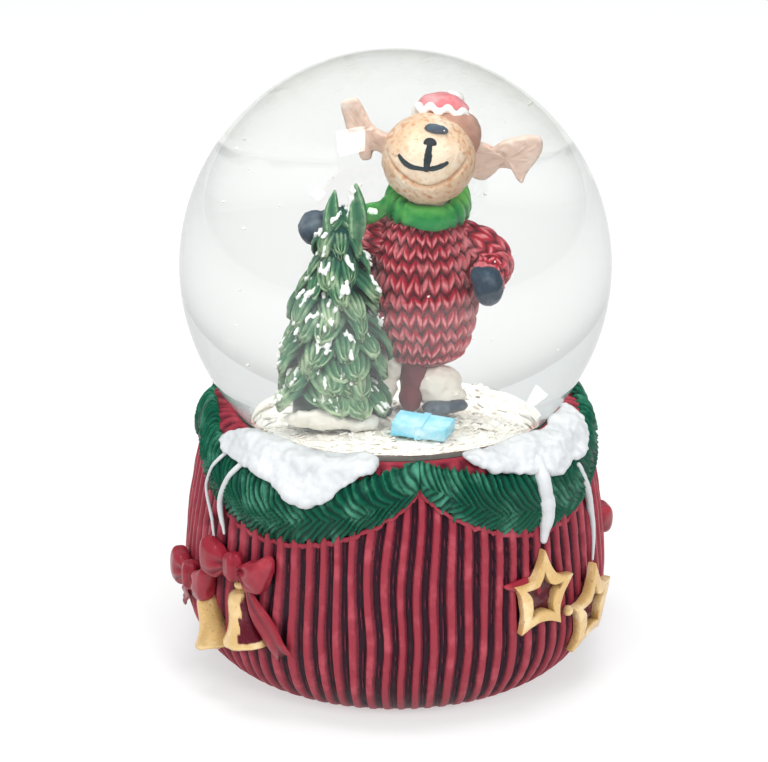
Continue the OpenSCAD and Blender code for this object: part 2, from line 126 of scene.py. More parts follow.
def wall_r(z):
    """Radius of the base wall at height z."""
    if z < BELLY_Z:
        return FOOT_R + (BELLY_R - FOOT_R) * sqrt(max(0, 1 - ((BELLY_Z - z) / BELLY_Z) ** 2))
    return BELLY_R - (BELLY_R - SHOULDER_R) * ((z - BELLY_Z) / (SHOULDER_Z - BELLY_Z)) ** 2


def on_wall(angle, z, x, y, out):
    """A point x to the right of, y above and out in front of the place (angle, z) on the base wall."""
    height = z + y
    r = wall_r(max(0.0, min(height, SHOULDER_Z)))
    return polar(r + out, angle + degrees(x / r), height)


def new_bmesh():
    bm = bmesh.new()
    bm.verts.layers.float.new("relief")
    return bm


def relief_of(bm):
    return bm.verts.layers.float["relief"]


def set_relief(bm, value):
    layer = relief_of(bm)
    for v in bm.verts:
        v[layer] = value


def mapped_grid(bm, across, length, place, weld=0.001):
    """Adds a grid whose corner at shares (u, v) goes to place(u, v), which gives a point and a relief."""
    layer = relief_of(bm)
    made = bmesh.ops.create_grid(bm, x_segments=across, y_segments=length, size=0.5)["verts"]
    for v in made:
        point, relief = place(v.co.x + 0.5, v.co.y + 0.5)
        v.co = point
        v[layer] = relief
    bmesh.ops.remove_doubles(bm, verts=made, dist=weld)


def close_holes(bm):
    bmesh.ops.holes_fill(bm, edges=[e for e in bm.edges if e.is_boundary], sides=0)


def lathe(outline, steps, weld):
    """A bmesh turned on the upright axis from an outline of radii and heights."""
    bm = new_bmesh()
    points = [bm.verts.new((r, 0, z)) for r, z in outline]
    line = [bm.edges.new(pair) for pair in zip(points, points[1:])]
    bmesh.ops.spin(bm, geom=points + line, cent=(0, 0, 0), axis=(0, 0, 1), angle=tau, steps=steps, use_merge=True)
    bmesh.ops.remove_doubles(bm, verts=bm.verts, dist=weld)
    return bm


def ball(bm, centre, size, turn=(0, 0, 0), detail=3):
    """Adds an ellipsoid of that size, turned by angles in degrees."""
    matrix = (
        Matrix.Translation(Vector(centre))
        @ Euler([radians(a) for a in turn]).to_matrix().to_4x4()
        @ Matrix.Diagonal((*[s / 2 for s in size], 1))
    )
    return bmesh.ops.create_icosphere(bm, subdivisions=detail, radius=1, matrix=matrix)["verts"]


def finish(name, bm, material, replaces=(), flat=False):
    """Turns a bmesh in millimetres into a piece of the globe, in a slot named as its material."""
    bmesh.ops.recalc_face_normals(bm, faces=bm.faces)
    bmesh.ops.scale(bm, vec=(MM, MM, MM), verts=bm.verts)
    mesh = bpy.data.meshes.new(name)
    bm.to_mesh(mesh)
    bm.free()
    for polygon in mesh.polygons:
        polygon.use_smooth = not flat
    piece = bpy.data.objects.new(name, mesh)
    bpy.context.scene.collection.objects.link(piece)
    mesh.materials.append(MATERIALS[material])
    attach(piece, "globe")
    if replaces:
        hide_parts(*replaces)


def sheet(name, across, length, place, material, replaces=(), weld=0.001):
    """A piece made of one mapped grid with its open ends closed."""
    bm = new_bmesh()
    mapped_grid(bm, across, length, place, weld)
    close_holes(bm)
    finish(name, bm, material, replaces)


def melted(bm, voxel, rounds=3):
    """Joins overlapping shapes into one soft skin, as clay or thick paint."""
    mesh = bpy.data.meshes.new("melting")
    bm.to_mesh(mesh)
    bm.free()
    lump = bpy.data.objects.new("melting", mesh)
    bpy.context.scene.collection.objects.link(lump)
    skin = lump.modifiers.new("skin", "REMESH")
    skin.mode = "VOXEL"
    skin.voxel_size = voxel
    soft = lump.modifiers.new("soft", "SMOOTH")
    soft.factor = 0.5
    soft.iterations = rounds
    shown = lump.evaluated_get(bpy.context.evaluated_depsgraph_get())
    made = new_bmesh()
    made.from_mesh(shown.to_mesh())
    shown.to_mesh_clear()
    bpy.data.objects.remove(lump)
    bpy.data.meshes.remove(mesh)
    if "relief" not in made.verts.layers.float:
        made.verts.layers.float.new("relief")
    set_relief(made, 1)
    return made


def roughened(bm, size, height, dark=0.0):
    """Moves the surface along its normals by a noise, and marks its hollows, where the dark colour then lies as painted
    shade.
    """
    layer = relief_of(bm)
    bm.normal_update()
    for v in bm.verts:
        n = noise.fractal(v.co / size, 1, 2, 3)
        v.co += v.normal * n * height
        v[layer] = min(1.0, max(0.0, v[layer] + dark * n))


def lump(name, balls, voxel, rounds, roughs, material, replaces=(), slot=None, detail=3):
    """A piece melted together from balls of a centre, a size and perhaps a turn, then roughened."""
    bm = bmesh.new()
    for centre, size, *turn in balls:
        ball(bm, centre, size, *turn, detail=detail)
    bm = melted(bm, voxel, rounds)
    for values in roughs:
        roughened(bm, *values)
    finish(name, bm, material, replaces)


def smooth_ball(name, centre, size, turn, relief, rough, material, replaces=()):
    """A piece that is one ball, a little uneven."""
    bm = new_bmesh()
    ball(bm, centre, size, turn, detail=4)
    set_relief(bm, relief)
    roughened(bm, *rough)
    finish(name, bm, material, replaces)


# ---------------------------------------------------------------- materials


def feed(tree, made, inputs):
    """Sets a node's inputs, each to a value or to another node's output."""
    for label, value in inputs.items():
        if isinstance(value, bpy.types.NodeSocket):
            tree.links.new(value, made.inputs[label])
        else:
            made.inputs[label].default_value = value


def node(tree, kind, inputs=None, **values):
    made = tree.nodes.new(kind)
    for key, value in values.items():
        setattr(made, key, value)
    feed(tree, made, inputs or {})
    return made


def noise_at(tree, scale, detail, rough, vector):
    inputs = {"Scale": scale, "Detail": detail, "Roughness": rough, "Vector": vector}
    return node(tree, "ShaderNodeTexNoise", inputs).outputs[0]


def maths(tree, operation, *values, clamp=False):
    return node(tree, "ShaderNodeMath", dict(enumerate(values)), operation=operation, use_clamp=clamp).outputs[0]


def ramp(tree, value, low, high):
    """A value spread so that low gives 0 and high gives 1."""
    inputs = {"Value": value, "From Min": low, "From Max": high}
    return node(tree, "ShaderNodeMapRange", inputs, interpolation_type="SMOOTHSTEP").outputs["Result"]


def mixed(tree, share, a, b):
    return node(tree, "ShaderNodeMix", {0: share, 6: a, 7: b}, data_type="RGBA").outputs[2]


# Noise per metre: the wide strokes of a brush, and the grain of the paint
STROKES = 260
GRAIN = 1900


def brushed_paint_group():
    """Hand-laid paint: a raised colour over a dark colour in the hollows, partly a real antiquing coat and partly
    painted shade, with uneven strokes, specks and a painted highlight on the crests.
    """
    group = bpy.data.node_groups.new("hand_painted", "ShaderNodeTree")
    values = {"Relief": 1.0, "Wash Reach": 0.5, "Speck": 0.3, "Painted Highlight": 0.0, "Gloss": 0.4, "Size": 1.0}
    for label in ("Raised", "Light", "Wash and Shade"):
        group.interface.new_socket(label, in_out="INPUT", socket_type="NodeSocketColor")
    for label, value in values.items():
        group.interface.new_socket(label, in_out="INPUT", socket_type="NodeSocketFloat").default_value = value
    for label, kind in (("Colour", "Color"), ("Roughness", "Float"), ("Height", "Float")):
        group.interface.new_socket(label, in_out="OUTPUT", socket_type=f"NodeSocket{kind}")
    given = node(group, "NodeGroupInput").outputs
    place = node(group, "ShaderNodeTexCoord").outputs["Object"]
    scaled = node(group, "ShaderNodeVectorMath", {0: place, "Scale": given["Size"]}, operation="SCALE").outputs[0]
    broad = noise_at(group, STROKES, 4, 0.55, scaled)
    fine = noise_at(group, GRAIN, 3, 0.6, scaled)
    kept = maths(group, "SUBTRACT", maths(group, "MULTIPLY_ADD", fine, 0.35, given["Relief"]), 0.175)
    # The dark colour fills the low relief: painted shade in the hollows, over a real antiquing coat.
    spread = ramp(group, kept, 0.02, given["Wash Reach"])
    # Painted highlight on the crests of the relief; bright also takes the random lighter strokes.
    painted_highlight = maths(group, "MULTIPLY", ramp(group, kept, 0.78, 1.08), given["Painted Highlight"])
    bright = maths(group, "MAXIMUM", ramp(group, broad, 0.45, 0.75), painted_highlight)
    washed_and_shaded = mixed(group, spread, given["Wash and Shade"], mixed(group, bright, given["Raised"], given["Light"]))
    specks = maths(group, "MULTIPLY", ramp(group, fine, 0.64, 0.72), given["Speck"])
    rough = maths(group, "MULTIPLY_ADD", broad, 0.22, given["Gloss"])
    results = {
        "Colour": mixed(group, specks, washed_and_shaded, given["Wash and Shade"]),
        "Roughness": maths(group, "SUBTRACT", rough, 0.11, clamp=True),
        "Height": maths(group, "ADD", fine, maths(group, "MULTIPLY", broad, 2.0)),
    }
    node(group, "NodeGroupOutput", results)
    return group


PAINT = brushed_paint_group()


def new_material(name):
    material = bpy.data.materials.new(name)
    material.use_nodes = True
    tree = material.node_tree
    return material, tree, tree.nodes["Principled BSDF"]


def painted(
    name, raised, light, wash_and_shade, gloss=0.35, coat=0.3, reach=0.5, speck=0.3, painted_highlight=0.0,
    size=1.0, bump=0.25, relief="relief", metal=0.0, sheen=0.0, specular=0.3,
):
    """A painted casting. The piece's own relief tells the hollows, where the dark colour stays, partly as a real
    antiquing coat and partly as painted shade.
    """
    material, tree, shader = new_material(name)
    inputs = {"Raised": (*raised, 1), "Light": (*light, 1), "Wash and Shade": (*wash_and_shade, 1), "Wash Reach": reach}
    inputs |= {"Speck": speck, "Gloss": gloss, "Size": size, "Painted Highlight": painted_highlight}
    if relief:
        inputs["Relief"] = node(tree, "ShaderNodeAttribute", attribute_name=relief).outputs["Fac"]
    paint = node(tree, "ShaderNodeGroup", inputs, node_tree=PAINT).outputs
    lift = node(tree, "ShaderNodeBump", {"Strength": bump, "Distance": 0.0001, "Height": paint["Height"]})
    looks = {"Base Color": paint["Colour"], "Roughness": paint["Roughness"], "Normal": lift.outputs["Normal"]}
    looks |= {"Metallic": metal, "Specular IOR Level": specular, "Coat Weight": coat, "Coat Roughness": 0.12}
    feed(tree, shader, looks | {"Sheen Weight": sheen})
    return material


def clear(name, ior, tint, edge_shade_tint):
    """Clear glass or water that lets the lamps through to what is inside, with a darker, duller colour at its grazing
    edge: painted shade for dark surroundings seen in the rim, and also for the longer path through the glass there.
    """
    material, tree, shader = new_material(name)
    facing = node(tree, "ShaderNodeLayerWeight", {"Blend": 0.5}).outputs["Facing"]
    colour = mixed(tree, maths(tree, "POWER", facing, 3.0), (*tint, 1), (*edge_shade_tint, 1))
    feed(tree, shader, {"Base Color": colour, "Roughness": 0.0, "IOR": ior, "Transmission Weight": 1.0})
    open_way = node(tree, "ShaderNodeBsdfTransparent", {"Color": (*tint, 1)}).outputs[0]
    shadow = node(tree, "ShaderNodeLightPath").outputs["Is Shadow Ray"]
    joined = node(tree, "ShaderNodeMixShader", {0: shadow, 1: shader.outputs[0], 2: open_way}).outputs[0]
    feed(tree, tree.nodes["Material Output"], {"Surface": joined})
    return material


# Raised, light and dark colours (the dark one partly a real antiquing coat, partly painted shade), then what differs
# from the usual gloss, coat, reach of the dark colour, speck and painted highlight
PAINTS = {
    "cast_red": ((0.25, 0.026, 0.042), (0.38, 0.062, 0.085), (0.020, 0.004, 0.011), 0.5, 0.05, 0.85, 0.25),
    "ribbon_red": ((0.22, 0.012, 0.024), (0.34, 0.036, 0.052), (0.028, 0.003, 0.009), 0.34, 0.25, 0.9, 0.15),
    "dark_red": ((0.075, 0.010, 0.018), (0.13, 0.02, 0.03), (0.012, 0.004, 0.008), 0.4),
    "garland_green": ((0.002, 0.072, 0.038), (0.06, 0.23, 0.15), (0.001, 0.024, 0.018), 0.36, 0.06, 0.7, 0.05, 0.6),
    "snow_paint": ((0.46, 0.475, 0.49), (0.56, 0.57, 0.58), (0.27, 0.31, 0.36), 0.38, 0.1, 0.7, 0.03, 0.6),
    "gold": ((0.64, 0.42, 0.17), (0.86, 0.68, 0.40), (0.17, 0.07, 0.020), 0.30, 0.2, 0.7, 0.7),
    "gold_over_red": ((0.66, 0.45, 0.20), (0.86, 0.69, 0.43), (0.10, 0.006, 0.016), 0.30, 0.3, 0.45),
    "flaky_snow": ((0.95, 0.92, 0.86), (0.96, 0.95, 0.93), (0.78, 0.70, 0.58), 0.6, 0.0, 0.4),
    "brow_brown": ((0.46, 0.24, 0.18), (0.62, 0.38, 0.30), (0.20, 0.08, 0.06), 0.5, 0.1, 0.8, 0.6),
    "ground_cream": ((0.93, 0.88, 0.80), (0.95, 0.93, 0.88), (0.70, 0.60, 0.48), 0.6, 0.0),
    "boot_paint": ((0.022, 0.045, 0.075), (0.20, 0.25, 0.29), (0.006, 0.012, 0.022), 0.45, 0.1, 0.6, 0.5),
    "trouser_paint": ((0.80, 0.74, 0.66), (0.88, 0.84, 0.77), (0.40, 0.34, 0.30), 0.55, 0.1),
    "knit_red": ((0.43, 0.009, 0.030), (0.88, 0.34, 0.37), (0.060, 0.002, 0.010), 0.26, 0.4, 0.9, 0.1, 0.75),
    "wine_red": ((0.13, 0.012, 0.022), (0.22, 0.03, 0.045), (0.03, 0.004, 0.010), 0.4, 0.3, 0.7),
    "scarf_green": ((0.006, 0.24, 0.050), (0.14, 0.48, 0.09), (0.002, 0.06, 0.030), 0.28, 0.4, 0.7, 0.15, 0.6),
    "fur_cream": ((0.80, 0.58, 0.40), (0.90, 0.80, 0.66), (0.58, 0.25, 0.11), 0.42, 0.1, 0.85, 0.9, 0.7),
    "antler_tan": ((0.85, 0.63, 0.53), (0.92, 0.77, 0.69), (0.52, 0.32, 0.24), 0.5, 0.05, 0.7, 0.5, 0.5),
    "nose_slate": ((0.045, 0.065, 0.10), (0.12, 0.16, 0.21), (0.012, 0.018, 0.03), 0.3, 0.5),
    "mouth_ink": ((0.010, 0.020, 0.026), (0.02, 0.035, 0.045), (0.004, 0.006, 0.008), 0.35, 0.4),
    "hat_red": ((0.72, 0.17, 0.20), (0.82, 0.42, 0.43), (0.36, 0.05, 0.06), 0.45, 0.1),
    "hat_white": ((0.93, 0.90, 0.88), (0.95, 0.94, 0.93), (0.62, 0.50, 0.46), 0.55, 0.1),
    "fir_green": ((0.055, 0.20, 0.095), (0.52, 0.66, 0.42), (0.003, 0.050, 0.040), 0.35, 0.15, 0.8, 0.1, 0.9),
    "fir_snow": ((0.93, 0.93, 0.92), (0.95, 0.95, 0.95), (0.45, 0.55, 0.45), 0.45, 0.3, 0.5, 0.2),
    "rock_grey": ((0.78, 0.75, 0.68), (0.86, 0.84, 0.79), (0.46, 0.42, 0.35), 0.5, 0.1),
    "gift_blue": ((0.22, 0.64, 0.84), (0.74, 0.90, 0.94), (0.05, 0.38, 0.72), 0.35, 0.2, 0.45, 0.15),
    "cover_black": ((0.035, 0.035, 0.038), (0.06, 0.06, 0.065), (0.01, 0.01, 0.01), 0.5, 0.0),
    "felt_green": ((0.015, 0.09, 0.05), (0.03, 0.14, 0.08), (0.006, 0.03, 0.02), 0.9, 0.0),
    "rubber_black": ((0.03, 0.03, 0.03), (0.05, 0.05, 0.05), (0.01, 0.01, 0.01), 0.6, 0.0),
    "seal_dark": ((0.012, 0.028, 0.022), (0.03, 0.05, 0.04), (0.004, 0.008, 0.006), 0.3),
}
OTHER_VALUES = {
    "cast_red": {"specular": 0.2},
    "garland_green": {"specular": 0.15},
    "snow_paint": {"bump": 0.2},
    "gold": {"metal": 0.4, "bump": 0.9},
    "gold_over_red": {"metal": 0.3, "bump": 0.9},
    "brow_brown": {"bump": 0.6},
    "cover_black": {"relief": None},
    "felt_green": {"relief": None, "bump": 0.9, "sheen": 0.5, "size": 2},
    "rubber_black": {"relief": None},
    "seal_dark": {"relief": None},
}
MATERIALS = {name: painted(name, *row, **OTHER_VALUES.get(name, {})) for name, row in PAINTS.items()}
MATERIALS["glass_clear"] = clear("glass_clear", 1.48, (0.985, 0.99, 0.985), (0.66, 0.73, 0.70))
MATERIALS["water_clear"] = clear("water_clear", 1.335, (0.965, 0.970, 0.962), (0.93, 0.945, 0.93))

# ---------------------------------------------------------------- the base


RIBS = 81
RIB_DEPTH = 0.85
STEPS_PER_RIB = 14
FOLDS = 74


def rib_height(angle, z):
    """How high the wall stands at this place, from 0 in a groove to 1 on a rib."""
    sway = 0.5 * wobble(cos(angle) * 3, sin(angle) * 3, z * 0.07)
    u = (RIBS * angle / tau + sway) % 1.0
    top = smooth(0.0, 0.10, u) * (1 - smooth(0.44, 0.52, u))
    crown = 1 - 0.12 * (2 * u - 0.52) ** 2
    flank = 0.42 * smooth(0.4, 0.5, u) * (1 - smooth(0.60, 0.68, u))
    top = max(top, flank)
    bead = exp(-(((u - 0.83) / 0.045) ** 2))
    bead *= 0.45 * smooth(-0.05, 0.15, wobble(floor(RIBS * angle / tau) * 3.1, 7, z * 0.55))
    return max(top * crown, bead)


def base_profile():
    """The base's whole outline from the well's middle, over the rim and down the wall, to the hollow underneath."""
    seat = GLOBE_R + 0.3
    neck = GLOBE_R - 10.2
    well_floor = NECK_END - 2.5
    low_rim = GLOBE_Z - sqrt(seat**2 - neck**2)
    outline = [(0, well_floor), (neck * 0.5, well_floor), (neck, well_floor)]
    outline += [(neck, lerp(well_floor, low_rim, 0.5)), (neck, low_rim)]
    outline += [
        (r, GLOBE_Z - sqrt(seat**2 - r**2)) for r in (lerp(neck, RIM_R, t) for t in (0.3, 0.6, 1.0))
    ]
    outline += [(lerp(RIM_R, RIM_R + 3, t / 6), RIM_Z - 0.6 * (t / 6) ** 2) for t in range(1, 7)]
    for t in range(1, 6):
        outline.append((lerp(RIM_R + 3, SHOULDER_R, t / 5), lerp(RIM_Z - 0.6, SHOULDER_Z, (t / 5) ** 1.5)))
    heights = [SHOULDER_Z - k * 0.75 for k in range(1, int(SHOULDER_Z / 0.75))]
    outline += [(wall_r(z), z) for z in heights] + [(wall_r(0.35), 0.35), (FOOT_R, 0)]
    recess = span_of("bottom_cover").x / 2 + 0.08
    ledge = top_of("bottom_cover")
    hollow_top = well_floor - 3.5
    outline += [(recess, 0), (recess, ledge), (recess - 1.5, ledge), (recess - 1.5, hollow_top), (0, hollow_top)]
    return outline


def ribbed_base():
    bm = lathe(base_profile(), RIBS * STEPS_PER_RIB, 0.0005)
    layer = relief_of(bm)
    for v in bm.verts:
        r, z = hypot(v.co.x, v.co.y), v.co.z
        v[layer] = 1
        if r < 1:
            continue
        angle = atan2(v.co.y, v.co.x)
        if r > RIM_R - 0.01 and z > SHOULDER_Z - 0.1:
            share = smooth(RIM_R, RIM_R + 1.2, r)
            fold = sin(FOLDS * angle + 5 * wobble(v.co.x, v.co.y, z, scale=0.22))
            fold *= 0.5 + 0.5 * wobble(v.co.x, v.co.y, 3, scale=0.5)
            v.co.z += share * (0.38 * fold - 0.1)
            # Painted shade: the hollows of the rim's folds get a lower relief and so the dark colour.
            v[layer] = 1 - share * (0.5 - 0.5 * fold) * 0.9
        elif r > FOOT_R - 0.01 and abs(r - wall_r(z)) < 0.01:
            fade = smooth(-0.5, 2.5, z)
            height = rib_height(angle, z)
            swell = 0.10 * wobble(v.co.x, v.co.y, z, scale=0.35)
            cut = RIB_DEPTH * fade * (1 - height) - swell * fade + 0.05
            v.co.xy *= (r - max(0, cut)) / r
            # Painted shade: the grooves between the ribs get a lower relief and so the dark colour, over a real
            # antiquing coat.
            v[layer] = lerp(1, height, fade)
    finish("ribbed_base", bm, "cast_red", ["base_casting"])


# ---------------------------------------------------------------- the garland and its snow


SWAG_SAG = 7.2
SWAG_H = 5.0
SWAG_T = 2.2
CUSP = 7


def swag_shape(t):
    """Centre radius, centre height, half thickness, half height and lean of a swag at share t of its length."""
    hang = sin(pi * min(1, max(0, t)))
    end = 0.4 + 0.6 * hang**0.5
    r = RIM_R + 3.2 + (SHOULDER_R - RIM_R - 2.6) * hang**0.6
    return r, RIM_Z - 0.8 - SWAG_SAG * hang**0.8, SWAG_T * end, SWAG_H * end, -20 * (1 - hang)


def swag_point(start, t, a, out=0.0):
    """A point on a swag at angle a round its section, from 0 outwards to 90 on top."""
    r, z, half_out, half_up, lean = swag_shape(t)
    u, v = (half_out + out) * cos(a), (half_up + out) * sin(a)
    c, s = cos(radians(lean)), sin(radians(lean))
    return polar(r + u * c + v * s, start + 90 * t, z + v * c - u * s)


def needle_strokes(u, v, seed):
    """Height of the needles at u along the swag and v across it, in millimetres: sprays that overlap like shingles."""
    best = 0.0
    for k in (-1, 0, 1):
        column = floor(u / 5.2) + k
        wander = wobble(column * 1.7, seed, 0.5)
        stem = 2.2 * wander
        x = u - (column + 0.5) * 5.2 + 1.4 * wander
        side = 1 if v > stem else -1
        across = abs(v - stem)
        swirl = 0.5 * wobble(u * 0.45, v * 0.45, seed + column)
        bend = x + 1.25 * across - 0.10 * across**2 + swirl
        reach = 1 - smooth(1.7, 3.7, abs(x + 0.35 * across))
        turn = bend / (1.18 + 0.25 * wander) + 0.3 * side + wander
        line = 0.5 + 0.5 * cos(tau * turn)
        long_ago = 0.75 + 0.25 * sin(3.1 * floor(turn) + column)
        best = max(best, reach * (0.15 + 0.85 * line**1.1 * long_ago))
    return best


def garland(node_name, start):
    length = radians(90) * (SHOULDER_R + 2)

    def place(s, t):
        a = tau * s
        hang = sin(pi * t) ** 0.5
        v = SWAG_H * hang * sin(a)
        height = needle_strokes(length * t, v + 1.2 * cos(a), start * 0.37)
        edge = abs(sin(a)) ** 6 * max(0.0, wobble(length * t * 1.1, start, copysign(3, v)))
        lift = (0.75 * (height - 0.7) + 1.1 * edge) * smooth(0, 0.05, t) * (1 - smooth(0.95, 1, t))
        # Painted shade in the gaps between the needle sprays, by their lower relief, and the painted highlight on their
        # crests.
        return swag_point(start, t, a, lift), height

    sheet(f"{node_name}_needles", 88, 380, place, "garland_green", [node_name])

    def lip(s, t):
        a = tau * s
        ragged = 0.45 * wobble(length * t * 0.9, start, 9) + 0.25 * wobble(length * t * 2.6, start, 4)
        low = swag_point(start, t, radians(-74), 0.25 + ragged)
        r, z = hypot(low.x, low.y), low.z
        angle = start + 90 * t
        hold = wall_r(z) - 0.4
        return polar(lerp(hold, r, 0.5 + 0.5 * cos(a)), angle, z + 0.42 * sin(a)), 0.75 + 0.3 * ragged

    sheet(f"{node_name}_lip", 10, 220, lip, "cast_red")


# Radius, and height from the rim, of the line that the snow follows
DRAPE = [(26.2, 1.0), (28.2, 0.5), (30.0, -1.7), (31.7, -4.4), (32.4, -7.2)]


def drape_point(angle, q):
    """A point on the line that the snow follows, at share q of its way down."""
    r, drop = along(DRAPE, q)
    return polar(r, angle, RIM_Z + drop)


def snow_cap(node_name, rows, turned=0):
    """Overlapping drops between an upper and a lower edge, given as rows of angle, upper share and lower share."""
    blobs = []
    count = 3 * len(rows)
    for i in range(count + 1):
        angle, high, low = along(rows, i / count)
        drops = max(2, round((low - high) * 14))
        for k in range(drops):
            q = lerp(high, low, k / (drops - 1))
            size = 1.15 + 0.35 * rng.random()
            shift = 0.25 * (rng.random() - 0.5)
            spot = drape_point(turned + angle + shift * 3, min(1, max(0, q)))
            blobs.append((spot, (size * 1.25, size * 1.25, size)))
    # The roughening marks the hollows of the snow, where the blue-grey dark colour lies as painted shade.
    roughs = [(4.5, 0.55, 0.5), (1.3, 0.14, 0.3)]
    lump(f"{node_name}_paint", blobs, 0.3, 4, roughs, "snow_paint", [node_name], detail=2)


CAP_LEFT = [
    (-60, 0.40, 0.44), (-57, 0.24, 0.52), (-53, 0.10, 0.53), (-48, 0.06, 0.54), (-43, 0.00, 0.54), (-38, 0.03, 0.58),
    (-33, 0.08, 0.64), (-29, 0.00, 0.74), (-25, 0.00, 0.78), (-20, 0.00, 0.72), (-16, 0.00, 0.56), (-12, 0.00, 0.40),
    (-7, 0.08, 0.26),
]
CAP_RIGHT = [
    (23, 0.04, 0.16), (27, 0.00, 0.34), (31, 0.00, 0.42), (36, 0.00, 0.50), (41, 0.00, 0.54), (45, 0.01, 0.57),
    (49, 0.08, 0.68), (53, 0.10, 0.70), (57, 0.12, 0.62), (61, 0.08, 0.63), (65, 0.04, 0.66), (69, 0.04, 0.52),
    (74, 0.05, 0.26),
]


# Rows of angle, drop below the rim and radius
ICICLES = {
    "icicle_left_outer": [
        (-55, 1.2, 0.4), (-58.5, 4, 0.3), (-62, 7, 0.27), (-63.4, 9.4, 0.28), (-60.4, 13, 0.3), (-57.5, 16.4, 0.2),
    ],
    "icicle_left_inner": [
        (-46.4, 1.2, 0.6), (-50.4, 4.2, 0.42), (-53.6, 7.1, 0.5), (-55.4, 9.6, 0.46), (-55, 12, 0.42),
        (-53.3, 14.4, 0.2),
    ],
    "icicle_right_front": [
        (44.0, 1.6, 1.3), (43.8, 4.6, 1.15), (44.6, 7.2, 1.3), (45.0, 9.6, 1.25), (44.4, 11.8, 0.9), (43.9, 13.6, 0.55),
    ],
    "icicle_right_side": [
        (59.7, 4.4, 0.4), (64, 8.2, 0.62), (67.5, 11.6, 0.62), (69, 14.8, 0.5), (68.6, 18, 0.36), (66.6, 21.4, 0.24),
    ],
}


def icicle(node_name, rows):
    drops = []
    front = SHOULDER_R + 0.6 + SWAG_T - 0.4
    for i in range(61):
        angle, drop, r = along(rows, i / 60)
        z = RIM_Z - drop
        swell = 1 + 0.14 * wobble(drop * 0.7, angle, 1)
        out = max(front - 2.6 * (1 - smooth(0, 5, drop)), wall_r(z) + 0.2)
        drops.append((polar(out, angle, z), [2 * r * swell] * 3))
    lump(f"{node_name}_drip", drops, 0.12, 3, [], "snow_paint", [node_name], detail=2)


# ---------------------------------------------------------------- bows, bells and stars


def with_copies(kind, front, side):
    """The values of an ornament's two pieces by node name, and their copies half a turn round."""
    rows = {}
    for turn, names in ((0, ("front", "side")), (180, ("back", "far_side"))):
        for name, (angle, *values) in zip(names, (front, side)):
            rows[f"{kind}_{name}"] = (angle + turn, *values)
    return rows


def bow_loop(bm, angle, z, turn, side, size):
    """A puffed ribbon loop, pinched at the knot and blunt at its end, with an ear at its upper corner."""
    c, s = cos(radians(turn)), sin(radians(turn))

    def place(u, v):
        a = tau * u
        up, out_way = cos(a), sin(a)
        up = signed_power(up, 0.8)
        open_up = 0.30 + 0.70 * smooth(0.0, 0.42, v)
        blunt = max(0.0, 1 - max(0.0, (v - 0.72) / 0.28) ** 2.6) ** 0.5
        wide = 0.43 * size * open_up * lerp(blunt, 1, 0.25 * (v < 0.98))
        thick = (0.72 + 0.78 * smooth(0.0, 0.55, v)) * blunt
        ear = (0.95 if side > 0 else 0.2) * smooth(0.45, 1.0, v) * max(0, up)
        hollow = (0.75 if side > 0 else 0.3) * sin(pi * min(1, v * 1.3)) * max(0, up) ** 2
        crease = exp(-(((up - 0.1) / 0.2) ** 2)) * (1 - smooth(0.1, 0.6, v))
        crease = max(crease, 0.6 * exp(-(((up + 0.45 + 0.3 * v) / 0.14) ** 2)) * (1 - smooth(0.3, 0.8, v)))
        x, y = side * (0.9 + size * v * (1 + 0.07 * up)), wide * up + ear - hollow
        out = 0.9 + 0.35 * thick + thick * signed_power(out_way, 0.6) * (1 - 0.6 * crease)
        point = on_wall(angle, z, x * c - y * s, x * s + y * c, out)
        # Painted shade: darker on the underside of each loop, more on the left loop, in the creases and next to the
        # knot.
        shade = 0.30 * smooth(0.1, 0.9, -up) * (1 if side < 0 else 0.4)
        return point, 1 - 0.8 * crease - 0.6 * (1 - smooth(0, 0.2, v)) - shade

    mapped_grid(bm, 44, 40, place)


def bow_tail(bm, angle, z, way, start, reach, drop, wide_end):
    """A flat tail that hangs from the knot, swings out, folds and ends in two points."""

    def place(u, v):
        a = tau * u
        across = cos(a)
        wide = lerp(0.8, wide_end, smooth(0, 0.75, v))
        fork = 1.5 * (1 - abs(across)) * smooth(0.72, 1, v)
        run = v - 0.11 * (1 - abs(across)) * smooth(0.7, 1, v)
        x = way * (start + reach * run**1.2) + 0.85 * wide * across
        y = -1.6 - drop * run + 0.55 * way * wide * across + 0.2 * fork
        fold = 0.55 * sin(2.2 * pi * v + across * 0.9)
        out = 0.75 + 0.42 * sin(a) + 0.35 + fold * 0.7 - 0.5 * smooth(0.8, 1, v)
        crease = exp(-(((across - 0.1) / 0.2) ** 2))
        # Painted shade in the crease and along one side of each fold.
        return on_wall(angle, z, x, y, max(0.15, out - 0.2 * crease)), 0.85 - 0.5 * crease - 0.2 * fold

    mapped_grid(bm, 24, 36, place)


# Angle, height, turn and size, then the tail's side, start, reach, drop and width at its end
BOWS = with_copies(
    "bow",
    (-46, TRIM_Z + 4.8, 2, 6.2, (1, 3.0, 6.8, 10.8, 1.7)),
    (-66.5, TRIM_Z - 1.2, 7, 6.0, (-1, 0.8, 4.6, 5.4, 0.9)),
)


def bow(node_name, angle, z, turn, size, tail):
    bm = new_bmesh()
    for side in (-1, 1):
        bow_loop(bm, angle, z, turn, side, size)

    def knot(u, v):
        a = tau * u
        h = lerp(-2.15, 2.15, v)
        r = 1.55 * (max(0.0, 1 - abs(h / 2.15) ** 3.4)) ** 0.4
        pleat = 0.12 * cos(5 * a)
        x, out = (r + pleat * r) * cos(a), 1.2 + (r * 0.95 + pleat) * sin(a)
        # Painted shade in the inner folds of the pleats.
        return on_wall(angle, z, x - 0.12 * h, h, out), 0.85 + 0.9 * pleat

    mapped_grid(bm, 40, 24, knot)
    bow_tail(bm, angle, z, *tail)
    close_holes(bm)
    finish(f"{node_name}_ribbon", bm, "ribbon_red", [node_name])


